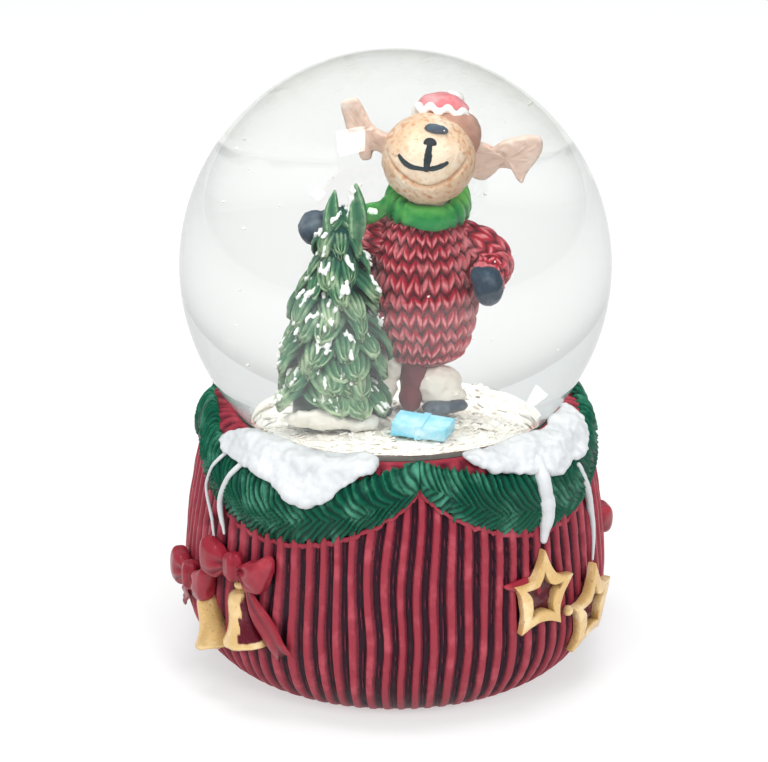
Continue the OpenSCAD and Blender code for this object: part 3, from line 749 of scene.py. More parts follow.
BELL_H = 8.4
BELL_R = 3.4


def bell_place(angle, top, lean):
    return (
        Matrix.Rotation(radians(angle), 4, "Z")
        @ Matrix.Translation((0, -wall_r(top - BELL_H / 2) - 0.1, top))
        @ Matrix.Rotation(radians(lean), 4, "Y")
    )


def bell(node_name, angle, top, lean, worn):
    """A turned bell. Its gold paint stops short of one side where worn is above 0."""
    outline = [
        (0.02, 0.15), (0.75, 0.1), (1.35, -0.15), (1.75, -0.7), (1.95, -1.6), (2.02, -2.8), (2.08, -4.0), (2.25, -5.2),
        (2.6, -6.3), (3.05, -7.2), (3.38, -7.75), (BELL_R, -8.1), (3.25, -BELL_H), (2.9, -BELL_H), (2.6, -7.6),
        (0.02, -7.2),
    ]
    bm = lathe(outline, 64, 0.05)
    layer = relief_of(bm)
    ball(bm, (0, 0, 0.75), (1.7, 1.3, 1.5), detail=3)
    for v in bm.verts:
        v.co += v.co.normalized() * 0.10 * noise.noise(v.co * 0.9)
        ragged = 0.9 * noise.noise(v.co * 0.7) + 0.45 * noise.noise(v.co * 2.2)
        v.co.x *= 1 + 0.16 * worn
        bare = smooth(0.5, 0.85, v.co.x - 0.15 * v.co.z - 0.9 + ragged) * worn
        rim = exp(-(((v.co.z + 7.9) / 0.35) ** 2))
        stain = 0.45 * smooth(0.05, 0.5, noise.noise(v.co * 0.7 + Vector((7, 3, angle))))
        v[layer] = max(0.0, 1 - bare * (1 - rim) - stain * (1 - rim))
    bm.transform(bell_place(angle, top, lean))
    finish(f"{node_name}_gilt", bm, "gold_over_red" if worn else "gold", [node_name])


# Angle, height of the top, lean, and how far its gold is worn off
BELLS = with_copies("bell", (-44.5, TRIM_Z + 1.0, -9, 1.0), (-59.5, TRIM_Z - 2.4, -20, 0.0))


def clappers():
    bm = new_bmesh()
    for angle, top, lean, _ in BELLS.values():
        ball(bm, bell_place(angle, top, lean) @ Vector((0, 0, -BELL_H + 0.3)), (1.9, 1.9, 1.9))
    set_relief(bm, 1)
    roughened(bm, 0.8, 0.06)
    finish("bell_clappers_gilt", bm, "gold", ["bell_clappers"])


# Angle, height, turn, size and how far it leans out
STARS = with_copies("star", (41, TRIM_Z + 1.2, 0, 1.0, 0), (62, TRIM_Z - 5.4, 6, 1.08, 0.05))
STAR_R = 6.2
# Outer and inner corners of the star's band, to the right and up from its centre
STAR_RIM = [
    (0.7, 6.9), (2.5, 2.9), (6.3, 1.4), (3.2, -2.2), (3.2, -5.5), (-0.8, -4.0), (-4.4, -5.2), (-4.1, -0.6), (-5.2, 2.7),
    (-1.6, 3.2),
]
STAR_HOLE = [
    (0.2, 3.7), (1.2, 1.5), (3.0, 0.9), (1.7, -0.9), (1.6, -3.0), (-0.4, -2.2), (-2.5, -2.7), (-2.2, -0.2), (-3.2, 1.6),
    (-0.9, 1.7),
]


def star_corner(corners, t):
    """The point at share t round a star whose sides sink in a little and whose corners are soft."""
    i, f = int(t * 10) % 10, t * 10 % 1.0
    f = lerp(f, f * f * (3 - 2 * f), 0.35)
    a, b = Vector(corners[i]), Vector(corners[(i + 1) % 10])
    return a.lerp(b, f) * (1 - 0.07 * sin(pi * f))


def star(node_name, angle, z, turn, size, tilt):
    """An open star with rounded bands, bent to the wall, its gold worn on the inner edges."""
    c, s = cos(radians(turn)), sin(radians(turn))

    def place(u, v):
        a = tau * u
        across = signed_power(cos(a), 0.35)
        out = signed_power(sin(a), 0.35)
        spot = star_corner(STAR_HOLE, v).lerp(star_corner(STAR_RIM, v), 0.5 + 0.5 * across) * size
        dent = wobble(spot.x, spot.y, out, scale=0.9)
        patch = wobble(spot.x * 0.45, spot.y * 0.45, angle)
        worn = smooth(-0.1, 0.35, patch + 0.25 * (spot.x - spot.y) / STAR_R - 0.12)
        edge = smooth(-0.1, -0.8, across) * smooth(-0.6, 0.2, out)
        x, y = spot.x * c - spot.y * s, spot.x * s + spot.y * c
        point = on_wall(angle, z, x, y, 0.8 + 0.8 * out + 0.08 * dent + tilt * (y + 3))
        # Painted shade on the back of the band, towards the wall.
        return point, 1 - 0.75 * edge * worn - 0.35 * smooth(0.2, 0.9, -out) + 0.2 * dent

    sheet(f"{node_name}_gilt", 20, 240, place, "gold", [node_name], weld=0.0005)


def star_knots():
    """The dark castings behind the stars, with the ribbon end and the small ball beside them."""
    casts = []
    for angle, z, _, size, tilt in STARS.values():
        for k in range(5):
            a = tau * k / 5
            spot = on_wall(angle, z, 2.1 * sin(a), 2.1 * size * cos(a), -0.5 + tilt * 2)
            casts.append((spot, (3.8, 3.8, 1.6), (90, 0, angle)))
    lump("star_knots_cast", casts, 0.3, 2, [(1.2, 0.25, 0.3)], "dark_red", ["star_backs"])
    ribbons, beads = new_bmesh(), new_bmesh()
    for angle in (STARS["star_front"][0], STARS["star_back"][0]):

        def place(u, v, middle=angle - 6.2):
            a = tau * u
            wide = lerp(1.35, 0.3, v) * (1 - smooth(0.9, 1, v) * 0.9)
            x, y = 0.9 - 4.0 * v, wide * cos(a) + 0.7 * v
            # Painted shade on the lower side of each ribbon end.
            return on_wall(middle, TRIM_Z + 3.3, x, y, 0.5 + 0.75 * (1 - 0.5 * v) * sin(a)), 1 - 0.5 * max(0, -cos(a))

        mapped_grid(ribbons, 18, 14, place)
        ball(beads, on_wall(angle + 9.8, TRIM_Z - 3.4, 0, 0, 0.7), (1.6, 1.6, 1.7))
    close_holes(ribbons)
    set_relief(beads, 1)
    finish("star_ribbon_ends", ribbons, "ribbon_red", ["star_ribbons"])
    finish("star_bead_gilt", beads, "gold", ["star_beads"])


# ---------------------------------------------------------------- the ball, the water and the ground


ROUND_STEPS = 160
ARC_STEPS = 72


def arc(radius, end, backwards=False):
    """Radii and heights on a circle round the ball's centre, from its top down to an angle."""
    shares = [i / ARC_STEPS for i in range(ARC_STEPS + 1)]
    angles = [lerp(end, 0, t) if backwards else lerp(0, end, t) for t in shares]
    return [(radius * sin(a), GLOBE_Z + radius * cos(a)) for a in angles]


def ball_of_glass():
    neck_out = NECK_R + GLASS_WALL
    bend_out = asin(neck_out / GLOBE_R)
    bend_in = asin(NECK_R / CAVITY_R)
    outline = arc(GLOBE_R, pi - bend_out) + [(neck_out, NECK_END), (NECK_R, NECK_END)]
    outline += arc(CAVITY_R, pi - bend_in, backwards=True)
    bm = lathe(outline, ROUND_STEPS, 0.002)
    finish("blown_glass", bm, "glass_clear", ["glass_globe"])


def water():
    """The water reaches a little into the glass, so that no film of air shows between them."""
    reach = CAVITY_R + 0.08
    bend = acos((GLOBE_Z - STOPPER_TOP) / reach)
    outline = arc(reach, pi - bend) + [(0, STOPPER_TOP)]
    bm = lathe(outline, ROUND_STEPS, 0.002)
    finish("clear_water", bm, "water_clear", ["liquid"])


DOME_R = 40.0
CHIPS_SETTLED = 1500
CHIPS_AFLOAT = 46
BED_Z = RIM_Z + 1.3
GROUND_R = NECK_R - 0.8


def ground_height(x, y):
    """Height of the moulded ground under a point, which falls away as a dome."""
    return GROUND_Z - DOME_R + sqrt(DOME_R**2 - min(x * x + y * y, DOME_R**2))


def bed_height(x, y):
    """Top of the snow, whichever is higher of the ground and the settled flakes."""
    drift = 0.35 * wobble(x, y, 0, scale=0.18)
    banked = 1.3 * smooth(-2, 16, y)
    return max(ground_height(x, y), BED_Z - 0.1 + drift + banked)


def moulded_ground():
    def place(u, v):
        a = tau * u
        r = GROUND_R * min(1, v * 1.25)
        x, y = r * sin(a), r * cos(a)
        z = ground_height(x, y) - 0.15 + 0.15 * wobble(x, y, 5, scale=0.7)
        if v > 0.8:
            z = lerp(z, STOPPER_TOP, (v - 0.8) / 0.2)
        return Vector((x, y, z)), 0.9

    sheet("ground_casting", 120, 60, place, "ground_cream", ["ground"], weld=0.01)


def flake(bm, centre, size, rng):
    """One thin chip of snow, lying at an angle of its own."""
    turn = Euler((rng.uniform(-0.6, 0.6), rng.uniform(-0.6, 0.6), rng.uniform(0, tau)))
    matrix = Matrix.Translation(centre) @ turn.to_matrix().to_4x4() @ Matrix.Diagonal(
        (size * rng.uniform(0.6, 1.1), size * rng.uniform(0.5, 0.9), 0.14, 1)
    )
    made = bmesh.ops.create_cube(bm, size=1, matrix=matrix)["verts"]
    shade = rng.uniform(0.25, 1.0)
    layer = relief_of(bm)
    for v in made:
        v[layer] = shade


def settled_snow():
    bm = new_bmesh()

    def place(u, v):
        a = tau * u
        inner, outer = 12.0, sqrt((CAVITY_R - 0.2) ** 2 - (GLOBE_Z - BED_Z) ** 2)
        if v <= 0.7:
            r = lerp(inner, outer, v / 0.7)
            x, y = r * sin(a), r * cos(a)
            z = min(bed_height(x, y), BED_Z + 1.7) + 0.18 * wobble(x, y, 2, scale=1.6)
            return Vector((x, y, z)), 0.8
        low = GLOBE_Z - sqrt((CAVITY_R - 0.2) ** 2 - (NECK_R - 0.4) ** 2)
        z = lerp(BED_Z, low, (v - 0.7) / 0.3)
        r = sqrt((CAVITY_R - 0.2) ** 2 - (GLOBE_Z - z) ** 2)
        return Vector((r * sin(a), r * cos(a), z)), 0.8

    mapped_grid(bm, 140, 40, place, weld=0.005)
    close_holes(bm)
    chips = random.Random(7)
    edge = sqrt((CAVITY_R - 0.9) ** 2 - (GLOBE_Z - BED_Z - 0.2) ** 2)
    for _ in range(CHIPS_SETTLED):
        r, a = edge * sqrt(chips.random()), chips.uniform(0, tau)
        x, y = r * sin(a), r * cos(a)
        flake(bm, Vector((x, y, bed_height(x, y) + 0.05)), chips.uniform(0.5, 1.35), chips)
    finish("settled_snow", bm, "flaky_snow", ["snow_bed"], flat=True)


def afloat():
    """A few flakes that still drift in the water."""
    bm = new_bmesh()
    drift = random.Random(11)
    for _ in range(CHIPS_AFLOAT):
        while True:
            spot = Vector([drift.uniform(-1, 1) for _ in range(3)]) * (CAVITY_R - 2)
            if spot.length < CAVITY_R - 2 and spot.z > RIM_Z + 4 - GLOBE_Z:
                break
        flake(bm, spot + Vector((0, 0, GLOBE_Z)), drift.uniform(0.18, 0.5), drift)
    finish("flakes_afloat", bm, "flaky_snow", ["drifting_flakes"], flat=True)


# ---------------------------------------------------------------- the moose


HEAD = Vector((MOOSE_X + 0.4, -2.5, GROUND_Z + 31.4))
MUZZLE_R = 5.7
MUZZLE_TILT = radians(24)


def on_muzzle(right, up, out=0.0):
    """A point on the muzzle, at angles in degrees to the right of and above the way it faces."""
    a, b = radians(right), radians(up)
    way = Vector((sin(a) * cos(b), -cos(a) * cos(b), sin(b)))
    way.rotate(Euler((-MUZZLE_TILT, 0, 0)))
    return HEAD + way * (MUZZLE_R + out)


def muzzle():
    bm = new_bmesh()
    layer = relief_of(bm)
    skin = ball(bm, HEAD, [2 * MUZZLE_R] * 3, detail=6)
    for v in skin:
        way = (v.co - HEAD).normalized()
        turned = way.copy()
        turned.rotate(Euler((MUZZLE_TILT, 0, 0)))
        side = degrees(atan2(turned.x, -turned.y))
        up = degrees(asin(max(-1, min(1, turned.z))))
        lip = -40 + 0.012 * side**2
        crease = exp(-(((up - lip) / 3.2) ** 2)) * (1 - smooth(48, 66, abs(side)))
        cheek = smooth(20, 62, hypot(side, up + 4))
        mottled = 0.5 * noise.noise(v.co * 0.55) + 0.25 * noise.noise(v.co * 2.2)
        rust = smooth(0.12, 0.42, noise.noise(v.co * 1.7)) * smooth(16, 52, hypot(side, up + 4))
        pit = smooth(0.25, 0.5, noise.noise(v.co * 2.9 + Vector((7, 3, 1))))
        v.co += way * (0.12 * noise.noise(v.co * 0.5) + 0.05 * noise.noise(v.co * 1.9) - 0.42 * crease - 0.07 * pit)
        # Painted shade in the mouth's crease and in the pits; the mottling and the rusty patches are the fur's own
        # colour, and the muzzle is darker away from its front.
        v[layer] = min(1, max(0, 1 - 0.45 * crease - 0.36 * cheek + 0.25 * mottled - 0.34 * rust - 0.22 * pit))
    neck = ball(bm, (MOOSE_X + 0.2, 0.6, GROUND_Z + 25.4), (6.6, 6.0, 8), detail=4)
    for v in neck:
        v[layer] = 0.75 + 0.3 * noise.noise(v.co * 0.6)
    finish("moose_muzzle", bm, "fur_cream", ["head"])
    brow = HEAD + Vector((2.3, 3.2, 1.7))
    smooth_ball("moose_brow", brow, (8.0, 7.4, 7.6), (0, 0, 0), 0.8, (1.2, 0.2, 0.4), "brow_brown")


def ink_line(bm, rows, width):
    """A painted stroke that lies on the muzzle."""

    def place(u, v):
        a = tau * u
        side, up = along(rows, v)
        ahead, behind = along(rows, min(1, v + 0.02)), along(rows, max(0, v - 0.02))
        way = Vector((ahead[0] - behind[0], ahead[1] - behind[1])).normalized()
        pressed = 1 + 0.25 * wobble(v * 9, side, 2)
        half = degrees(width / 2 / MUZZLE_R) * pressed * (sin(pi * (0.04 + 0.92 * v)) ** 0.35)
        return on_muzzle(side - way.y * half * cos(a), up + way.x * half * cos(a), 0.08 * sin(a)), 1

    mapped_grid(bm, 12, 40, place)


def mouth_and_nose():
    bm = new_bmesh()
    ink_line(bm, [(4, 25), (2, 17), (1, 8), (0, -1), (-1.5, -10), (-2.5, -17)], 1.0)
    ink_line(bm, [(-40, 5), (-31, -5), (-20, -11), (-2, -13.5)], 0.75)
    ink_line(bm, [(-2, -13.5), (8, -12.5), (18, -9), (27, -4)], 0.7)
    ball(bm, on_muzzle(3.5, 21, 0), (1.7, 0.4, 1.7), detail=3)
    close_holes(bm)
    set_relief(bm, 1)
    finish("moose_mouth", bm, "mouth_ink")
    spot, rough = on_muzzle(15, 42, 0.1), (1.2, 0.12, 0.3)
    smooth_ball("moose_nose", spot, (3.1, 1.5, 1.8), (40, 10, 0), 0.9, rough, "nose_slate", ["nose"])


# Outlines to the right of the moose's middle and up from just under the ground
ANTLER_RIGHT = [
    (4.4, 31.6), (6.4, 32.4), (7.2, 31.5), (8.0, 31.7), (9.3, 32.7), (11.6, 33.6), (13.8, 34.3), (14.7, 33.8),
    (14.4, 32.2), (13.5, 30.6), (12.4, 29.2), (11.7, 28.2), (11.2, 27.2), (10.6, 27.6), (10.1, 28.8), (8.6, 29.0),
    (7.7, 28.2), (6.6, 27.5), (5.2, 28.0), (4.2, 29.6),
]
ANTLER_LEFT = [
    (-3.4, 32.8), (-5.2, 33.6), (-6.4, 34.6), (-7.1, 36.2), (-7.8, 37.8), (-8.4, 38.8), (-9.4, 38.9), (-10.2, 38.3),
    (-10.2, 37.0), (-9.8, 35.6), (-9.4, 34.0), (-8.7, 32.9), (-7.8, 32.0), (-7.9, 30.8), (-7.4, 30.0), (-6.5, 30.2),
    (-6.0, 31.2), (-4.0, 30.4),
]


def antlers():
    for side, outline in (("right", ANTLER_RIGHT), ("left", ANTLER_LEFT)):
        middle = Vector((sum(p[0] for p in outline) / len(outline), sum(p[1] for p in outline) / len(outline)))

        def place(u, v, outline=outline, middle=middle):
            a = pi * (u - 0.5)
            edge = Vector(along(outline + outline[:1], v))
            spot = middle.lerp(edge, cos(a) ** 0.6)
            vein = 0.24 * wobble(spot.x * 0.9 + spot.y * 0.5, (spot.y - 0.4 * spot.x) * 2.6, 1)
            bowl = 0.5 * ((spot - middle).length / 5) ** 2
            thick = 0.62 + vein
            out = -thick * signed_power(sin(a), 0.6) - bowl
            grain = wobble(spot.x, spot.y, 3, scale=1.1) + 0.8 * wobble(spot.x, spot.y, 6, scale=3.4)
            point = Vector((MOOSE_X + spot.x, 1.4 + out, GROUND_Z - 0.6 + spot.y))
            return point, 0.72 + 1.2 * vein + 0.35 * grain + 0.25 * cos(a) - 0.2

        sheet(f"antler_{side}_palm", 22, 120, place, "antler_tan", [f"antler_{side}"], weld=0.004)


def hat():
    x, z = MOOSE_X + 2, HEAD.z + 3.4
    smooth_ball("hat_cap", (x, 2.6, z), (6.8, 6.2, 5.8), (-16, 8, 0), 0.9, (1.6, 0.2, 0.3), "hat_red", ["hat"])

    def trim(u, v):
        a, b = tau * v, tau * u
        zig = 0.34 * signed_power(sin(9 * a), 0.7)
        r = 3.05 + 0.55 * cos(b)
        spot = Vector((r * 1.04 * sin(a), -r * 0.96 * cos(a), 0.6 * sin(b) + zig))
        spot.rotate(Euler((radians(-38), radians(8), 0)))
        # Painted light and shade: the upper side of the band is lighter and the lower side darker.
        return spot + Vector((x, 2.1, z + 0.5)), 0.9 + 0.2 * sin(b)

    sheet("hat_band", 12, 150, trim, "hat_white", ["hat_trim"])
    tuft = [((MOOSE_X + 3.2, 5.4, HEAD.z + 4), (2.5, 2.5, 2.5))]
    lump("hat_pompom", tuft, 0.2, 1, [(0.5, 0.2, 0.4)], "hat_white", ["pompom"])


# Radius and height above the hem
SWEATER = [
    (2.8, 0.0), (4.3, 1.0), (5.3, 3.2), (5.9, 6.0), (6.1, 9.0), (5.9, 12.0), (5.5, 14.4), (4.8, 16.6), (3.4, 17.9),
]


def knit_height(u, v, seed=0.0):
    """Height of plaited V stitches at u columns round and v rows up."""
    wander = 0.30 * wobble(u * 0.6, v * 0.6, seed)
    col = (u + wander) % 1.0
    lean = abs(2 * col - 1)
    row = (v + 0.55 * lean + wander) % 1.0
    strand = sin(pi * row) ** 0.8
    valley = min(1.0, lean * 5) * min(1.0, (1 - lean) * 6 + 0.15)
    return strand * (0.35 + 0.65 * valley)


def sweater():
    z0 = GROUND_Z + 5.6
    columns, rows = 24, 11

    def place(u, v):
        a = tau * u
        r, z = along(SWEATER, v)
        height = knit_height(u * columns, v * rows)
        r += 0.7 * (height - 0.6) * smooth(0, 0.06, v)
        # Painted shade in the hollows between the stitches and the painted highlight on the strands.
        return Vector((MOOSE_X - 0.5 + r * sin(a), -r * 0.94 * cos(a), z0 + z)), height

    sheet("sweater_knit", 300, 130, place, "knit_red", ["sweater"])


def sleeve(node_name, rows):
    """A knitted sleeve along rows of x, y, z and radius, rolled at the cuff."""

    def place(u, v):
        a = tau * u
        x, y, z, r = along(rows, v)
        ahead, behind = along(rows, min(1, v + 0.03)), along(rows, max(0, v - 0.03))
        way = (Vector(ahead[:3]) - Vector(behind[:3])).normalized()
        side = way.cross(Vector((0, 1, 0.2))).normalized()
        up = way.cross(side).normalized()
        height = knit_height(u * 8, v * 6, 3.0)
        cuff = 0.45 * smooth(0.82, 0.88, v) * (1 - smooth(0.96, 1.0, v))
        r += 0.4 * (height - 0.6) + cuff
        # Painted shade between the stitches and the painted highlight on the strands; the cuff is even.
        return Vector((x, y, z)) + (side * cos(a) + up * sin(a)) * r, lerp(height, 0.95, smooth(0.8, 0.86, v))

    sheet(f"{node_name}_knit", 80, 70, place, "knit_red", [node_name])


def sleeves():
    z = GROUND_Z + 20
    x = MOOSE_X - 5.2
    rows = [(x + 1.2, -0.3, z - 0.2, 2.0), (x - 2, -1, z + 0.5, 1.85)]
    rows += [(x - 4.2, -1.2, z + 1.1, 1.65), (x - 6.2, -1.2, z + 1.5, 1.4)]
    sleeve("sleeve_left", rows)
    x = MOOSE_X + 4.6
    rows = [(x - 0.8, 0, z + 0.2, 2.0), (x + 2, -0.4, z - 1, 2.15), (x + 3.2, -1.4, z - 2.4, 2.1)]
    rows += [(x + 2.9, -3.0, z - 3.2, 1.95), (x + 2.2, -4.4, z - 3.7, 1.7)]
    sleeve("sleeve_right", rows)


def mittens():
    for side, centre, size in (
        ("left", middle_of("mitten_left"), (4.2, 3.8, 4.2)),
        ("right", middle_of("mitten_right") + Vector((0.6, 0, 0.5)), (3.7, 3.4, 5.0)),
    ):
        thumb = centre + Vector((-1.2 if side == "right" else 1.2, -0.5, 1.4))
        balls, rough = [(centre, size), (thumb, (1.8, 1.8, 2.4))], [(0.8, 0.14, 0.6)]
        lump(f"mitten_{side}_hand", balls, 0.2, 2, rough, "boot_paint", [f"mitten_{side}"], "boots")


def scarf():
    """A glossy collar that dips at the front, ribbed at its sides, and its free end towards the tree."""
    z0 = middle_of("scarf").z

    def place(u, v):
        a = tau * u
        b = tau * v
        ribbed = smooth(0.35, 0.95, abs(sin(a))) + smooth(0.2, 0.6, -cos(a))
        rib = 0.5 + 0.5 * sin(26 * a + 2 * sin(3 * a))
        fold = 0.5 + 0.5 * sin(5 * a + 1.3)
        wide = 1.15 + 0.22 * ribbed * (rib - 0.3) + 0.14 * (fold - 0.5) * (1 - ribbed)
        flat = signed_power(cos(b), 0.6)
        r = 4.05 + 0.78 * wide * flat - 0.25 * sin(b)
        dip = 1.1 * cos(a) + 0.35 * sin(2 * a)
        tall = 1.15 + 0.3 * (rib - 0.5) * ribbed + 0.3 * wobble(3 * sin(a), 3 * cos(a), 4)
        z = z0 + 0.7 + tall * wide * sin(b) - dip * (0.62 + 0.15 * cos(b))
        shade = lerp(1.0, 0.35 + 0.65 * rib, min(1, ribbed))
        # Painted shade in the grooves between the ribs, and painted light and shade: the upper side lighter, the lower
        # side darker.
        return Vector((MOOSE_X + 0.1 + r * sin(a), -0.6 - r * 0.95 * cos(a), z)), shade * (0.75 + 0.35 * sin(b))

    sheet("scarf_collar", 240, 36, place, "scarf_green", ["scarf"])
    balls = []
    for k in range(9):
        t = k / 8
        spot = (lerp(MOOSE_X - 3.8, MOOSE_X - 8.6, t), -1.8, lerp(z0 + 1.2, z0 - 0.4, t) - 0.8 * sin(pi * t))
        balls.append((spot, (2.0, 1.3, lerp(2.2, 3.2, t))))
    lump("scarf_end", balls, 0.25, 2, [(0.8, 0.15, 0.5)], "scarf_green", detail=2)


# Slot, and two balls each: a centre from the middle of the feet, and a size
LEGS = {
    "leg_left": ("trousers", [((-4.2, -1.2, 5.6), (3.6, 3.4, 4.4)), ((-4.9, -1.5, 3.0), (3.0, 3.0, 3.6))]),
    "leg_right": ("trousers", [((1.0, -1.2, 3.4), (5.6, 4.2, 4.2)), ((1.6, -1.4, 2.0), (5.4, 4.0, 2.6))]),
    "boot_left": ("boots", [((-5.4, -1.6, 1.6), (2.9, 3.6, 3.2)), ((-5.2, -2.8, 0.7), (2.8, 3.0, 1.6))]),
    "boot_right": ("boots", [((1.2, -3.0, 1.0), (3.6, 3.6, 1.9)), ((3.2, -2.8, 1.2), (2.6, 3.2, 1.5))]),
}
SWEATER_TAIL = [((-1.6, -1.6, 4.6), (3.4, 3, 6.2)), ((-1.9, -2.2, 2.0), (2.6, 2.4, 3.4))]


def legs():
    def placed(blobs):
        return [((MOOSE_X + x, y, GROUND_Z + z), size) for (x, y, z), size in blobs]

    for name, (slot, blobs) in LEGS.items():
        material = "trouser_paint" if slot == "trousers" else "boot_paint"
        lump(f"{name}_cast", placed(blobs), 0.22, 2, [(0.9, 0.18, 0.5)], material, [name], slot)
    lump("sweater_tail", placed(SWEATER_TAIL), 0.25, 2, [(0.8, 0.15, 0.5)], "wine_red", slot="knit_red")


# ---------------------------------------------------------------- the tree and the gift


TREE = Vector((middle_of("fir_tree").x - 1.0, middle_of("fir_tree").y, GROUND_Z))
TREE_H = span_of("fir_tree").z
TREE_R = span_of("fir_tree").x / 2
# How far the branches reach, from the lowest tier to the top
TREE_REACH = [(1.0,), (0.99,), (0.96,), (0.86,), (0.72,), (0.52,), (0.22,)]


def clump(bm, root, outward, droop, length, width, seed):
    """A drooping tongue of needles: ridged along its length, bright at its tip. Its low relief at the root is painted
    shade under the tiers above, and its ridges and tip take the painted highlight.
    """
    side = Vector((0, 0, 1)).cross(outward).normalized()
    curl = 0.35 * sin(seed * 5)

    def place(u, v):
        a = tau * u
        wide = width / 2 * (0.45 + 0.55 * smooth(0, 0.5, v)) * (max(0.0, 1 - max(0.0, (v - 0.45) / 0.55) ** 2) ** 0.5)
        ridge = 0.5 + 0.5 * cos(13 * cos(a) * (1.3 - 0.3 * v) + seed)
        bulge = 0.8 * sin(pi * min(1, 0.15 + 0.8 * v))
        thick = (0.55 + 0.3 * ridge) * (1 - 0.3 * v)
        bend = droop * v
        run, fall = length * sin(min(1.5, 1.5 * v)) / sin(1.5), length * droop * v**1.8
        ahead = run * (1 - 0.12 * bend) + 0.55 * ridge * smooth(0.5, 1, v)
        point = root + outward * ahead + side * (wide * cos(a) + curl * v * v * width)
        point.z += thick * sin(a) - fall + bulge - 0.30 * cos(a) ** 2 * wide - 0.5 * (1 - ridge) * smooth(0.75, 1, v)
        return point, min(1.0, 0.10 + 0.55 * ridge * smooth(0.1, 0.8, v) + 0.42 * smooth(0.55, 1, v))

    mapped_grid(bm, 44, 12, place, weld=0.0005)
    return place


def spire(bm, foot, tip, width, bend):
    """One of the two leaf-shaped tips that stand at the top."""

    def place(u, v):
        a = tau * u
        middle = foot.lerp(tip, v) + Vector((bend * sin(pi * v), -0.3 * sin(pi * v), 0))
        leaf = width * (sin(pi * (0.10 + 0.88 * v)) ** 0.8)
        ridge = 0.5 + 0.5 * cos(4 * a + 5 * v)
        # Painted shade in the grooves between the ridges.
        return middle + Vector((leaf * cos(a), 0.62 * leaf * (1 + 0.3 * ridge) * sin(a), 0)), 0.35 + 0.6 * ridge

    mapped_grid(bm, 24, 24, place)


def fir_tree():
    bm = new_bmesh()
    grow = random.Random(3)
    dabs = []
    tiers = 10
    lean = tan(radians(2.5))
    for tier in range(tiers):
        share = tier / (tiers - 1)
        z = lerp(0.15, 0.87, share) * TREE_H
        reach = TREE_R * along(TREE_REACH, share)[0]
        count = max(4, round(lerp(11, 5, share)))
        for k in range(count):
            a = tau * (k + 0.5 * (tier % 2)) / count + grow.uniform(-0.16, 0.16)
            outward = Vector((sin(a), -cos(a), 0))
            length = reach * grow.uniform(0.80, 1.04)
            root = TREE + Vector((z * lean, 0, z + grow.uniform(-0.5, 0.5))) + outward * 0.08 * reach
            width = lerp(4.4, 2.6, share) * grow.uniform(0.85, 1.15)
            droop = lerp(0.42, 0.85, share) * grow.uniform(0.85, 1.15)
            spray = clump(bm, root, outward, droop, length, width, grow.uniform(0, 6))
            if grow.random() < 0.62:
                for _ in range(6):
                    spot, _ = spray(0.25 + grow.uniform(-0.13, 0.13), grow.uniform(0.45, 0.98))
                    dabs.append((spot, grow.uniform(0.55, 1.05), a))
    top = TREE + Vector((TREE_H * lean, 0, 0))
    spire(bm, top + Vector((1.0, -0.6, 0.72 * TREE_H)), top + Vector((1.6, 0, 1.03 * TREE_H)), 1.25, 0.5)
    spire(bm, top + Vector((-0.9, -0.6, 0.72 * TREE_H)), top + Vector((-0.9, 0, 1.0 * TREE_H)), 1.05, -0.4)

    # A dark cone inside the tree, all in the dark colour: painted shade seen through the gaps between the sprays.
    def painted_shade_core(u, v):
        a = tau * u
        r = 0.66 * TREE_R * along(TREE_REACH, v)[0] * (1 - smooth(0.9, 1, v))
        z = lerp(0.02, 0.92, v) * TREE_H
        return TREE + Vector((z * lean + r * sin(a), -r * cos(a), z)), 0.0

    mapped_grid(bm, 32, 20, painted_shade_core)
    close_holes(bm)
    finish("fir_sprays", bm, "fir_green", ["fir_tree"])
    snow = [(spot, (width * 0.6, width * 1.7, width * 0.6), (40, 0, degrees(a))) for spot, width, a in dabs]
    low, high = top + Vector((0.1, -0.95, 0.70 * TREE_H)), top + Vector((1.2, -0.5, 1.0 * TREE_H))
    snow += [(low.lerp(high, k / 8), (0.7, 0.6, 1.5)) for k in range(9)]
    lump("fir_snow_dabs", snow, 0.16, 1, [(0.5, 0.2, 0.6)], "fir_snow", slot="hat_white", detail=2)


def rock():
    centre = middle_of("tree_rock")
    stones = [
        (centre, (7.4, 4.0, 3.0)),
        (centre + Vector((4.2, 0.6, -0.3)), (4.2, 3.4, 2.4)),
        (centre + Vector((-3.4, 1.0, -0.5)), (3.4, 3.0, 1.8)),
    ]
    lump("rock_cast", stones, 0.3, 3, [(1.8, 0.4, 0.4)], "rock_grey", ["tree_rock"], "rock")


GIFT = (7.0, 3.8, 1.9)
GIFT_TURN = Euler([radians(a) for a in (18, 8, -14)])


def wrapping(name, size, lift, bevel, cuts, relief, rough, replaces):
    """A soft-edged box at the gift's place, a little uneven."""
    bm = new_bmesh()
    matrix = Matrix.Translation((0, 0, lift)) @ Matrix.Diagonal((*size, 1))
    bmesh.ops.create_cube(bm, size=1, matrix=matrix)
    bmesh.ops.bevel(bm, geom=bm.edges[:], offset=bevel, segments=2, profile=0.5, affect="EDGES", material=-1)
    bmesh.ops.subdivide_edges(bm, edges=bm.edges[:], cuts=cuts, use_grid_fill=True)
    set_relief(bm, relief)
    roughened(bm, *rough)
    gift_centre = middle_of("gift_box") + Vector((0.5, 0, 0.25))
    bm.transform(Matrix.Translation(gift_centre) @ GIFT_TURN.to_matrix().to_4x4())
    finish(name, bm, "gift_blue", replaces)


def gift():
    wrapping("gift_wrapped", GIFT, 0, 0.22, 5, 0.9, (1.0, 0.12, 0.5), ["gift_box"])
    band = (0.9, GIFT[1] + 0.25, GIFT[2] + 0.3)
    wrapping("gift_band", band, 0.03, 0.12, 3, 0.6, (0.7, 0.1, 0.5), ["gift_ribbon"])


# ---------------------------------------------------------------- light, floor and camera


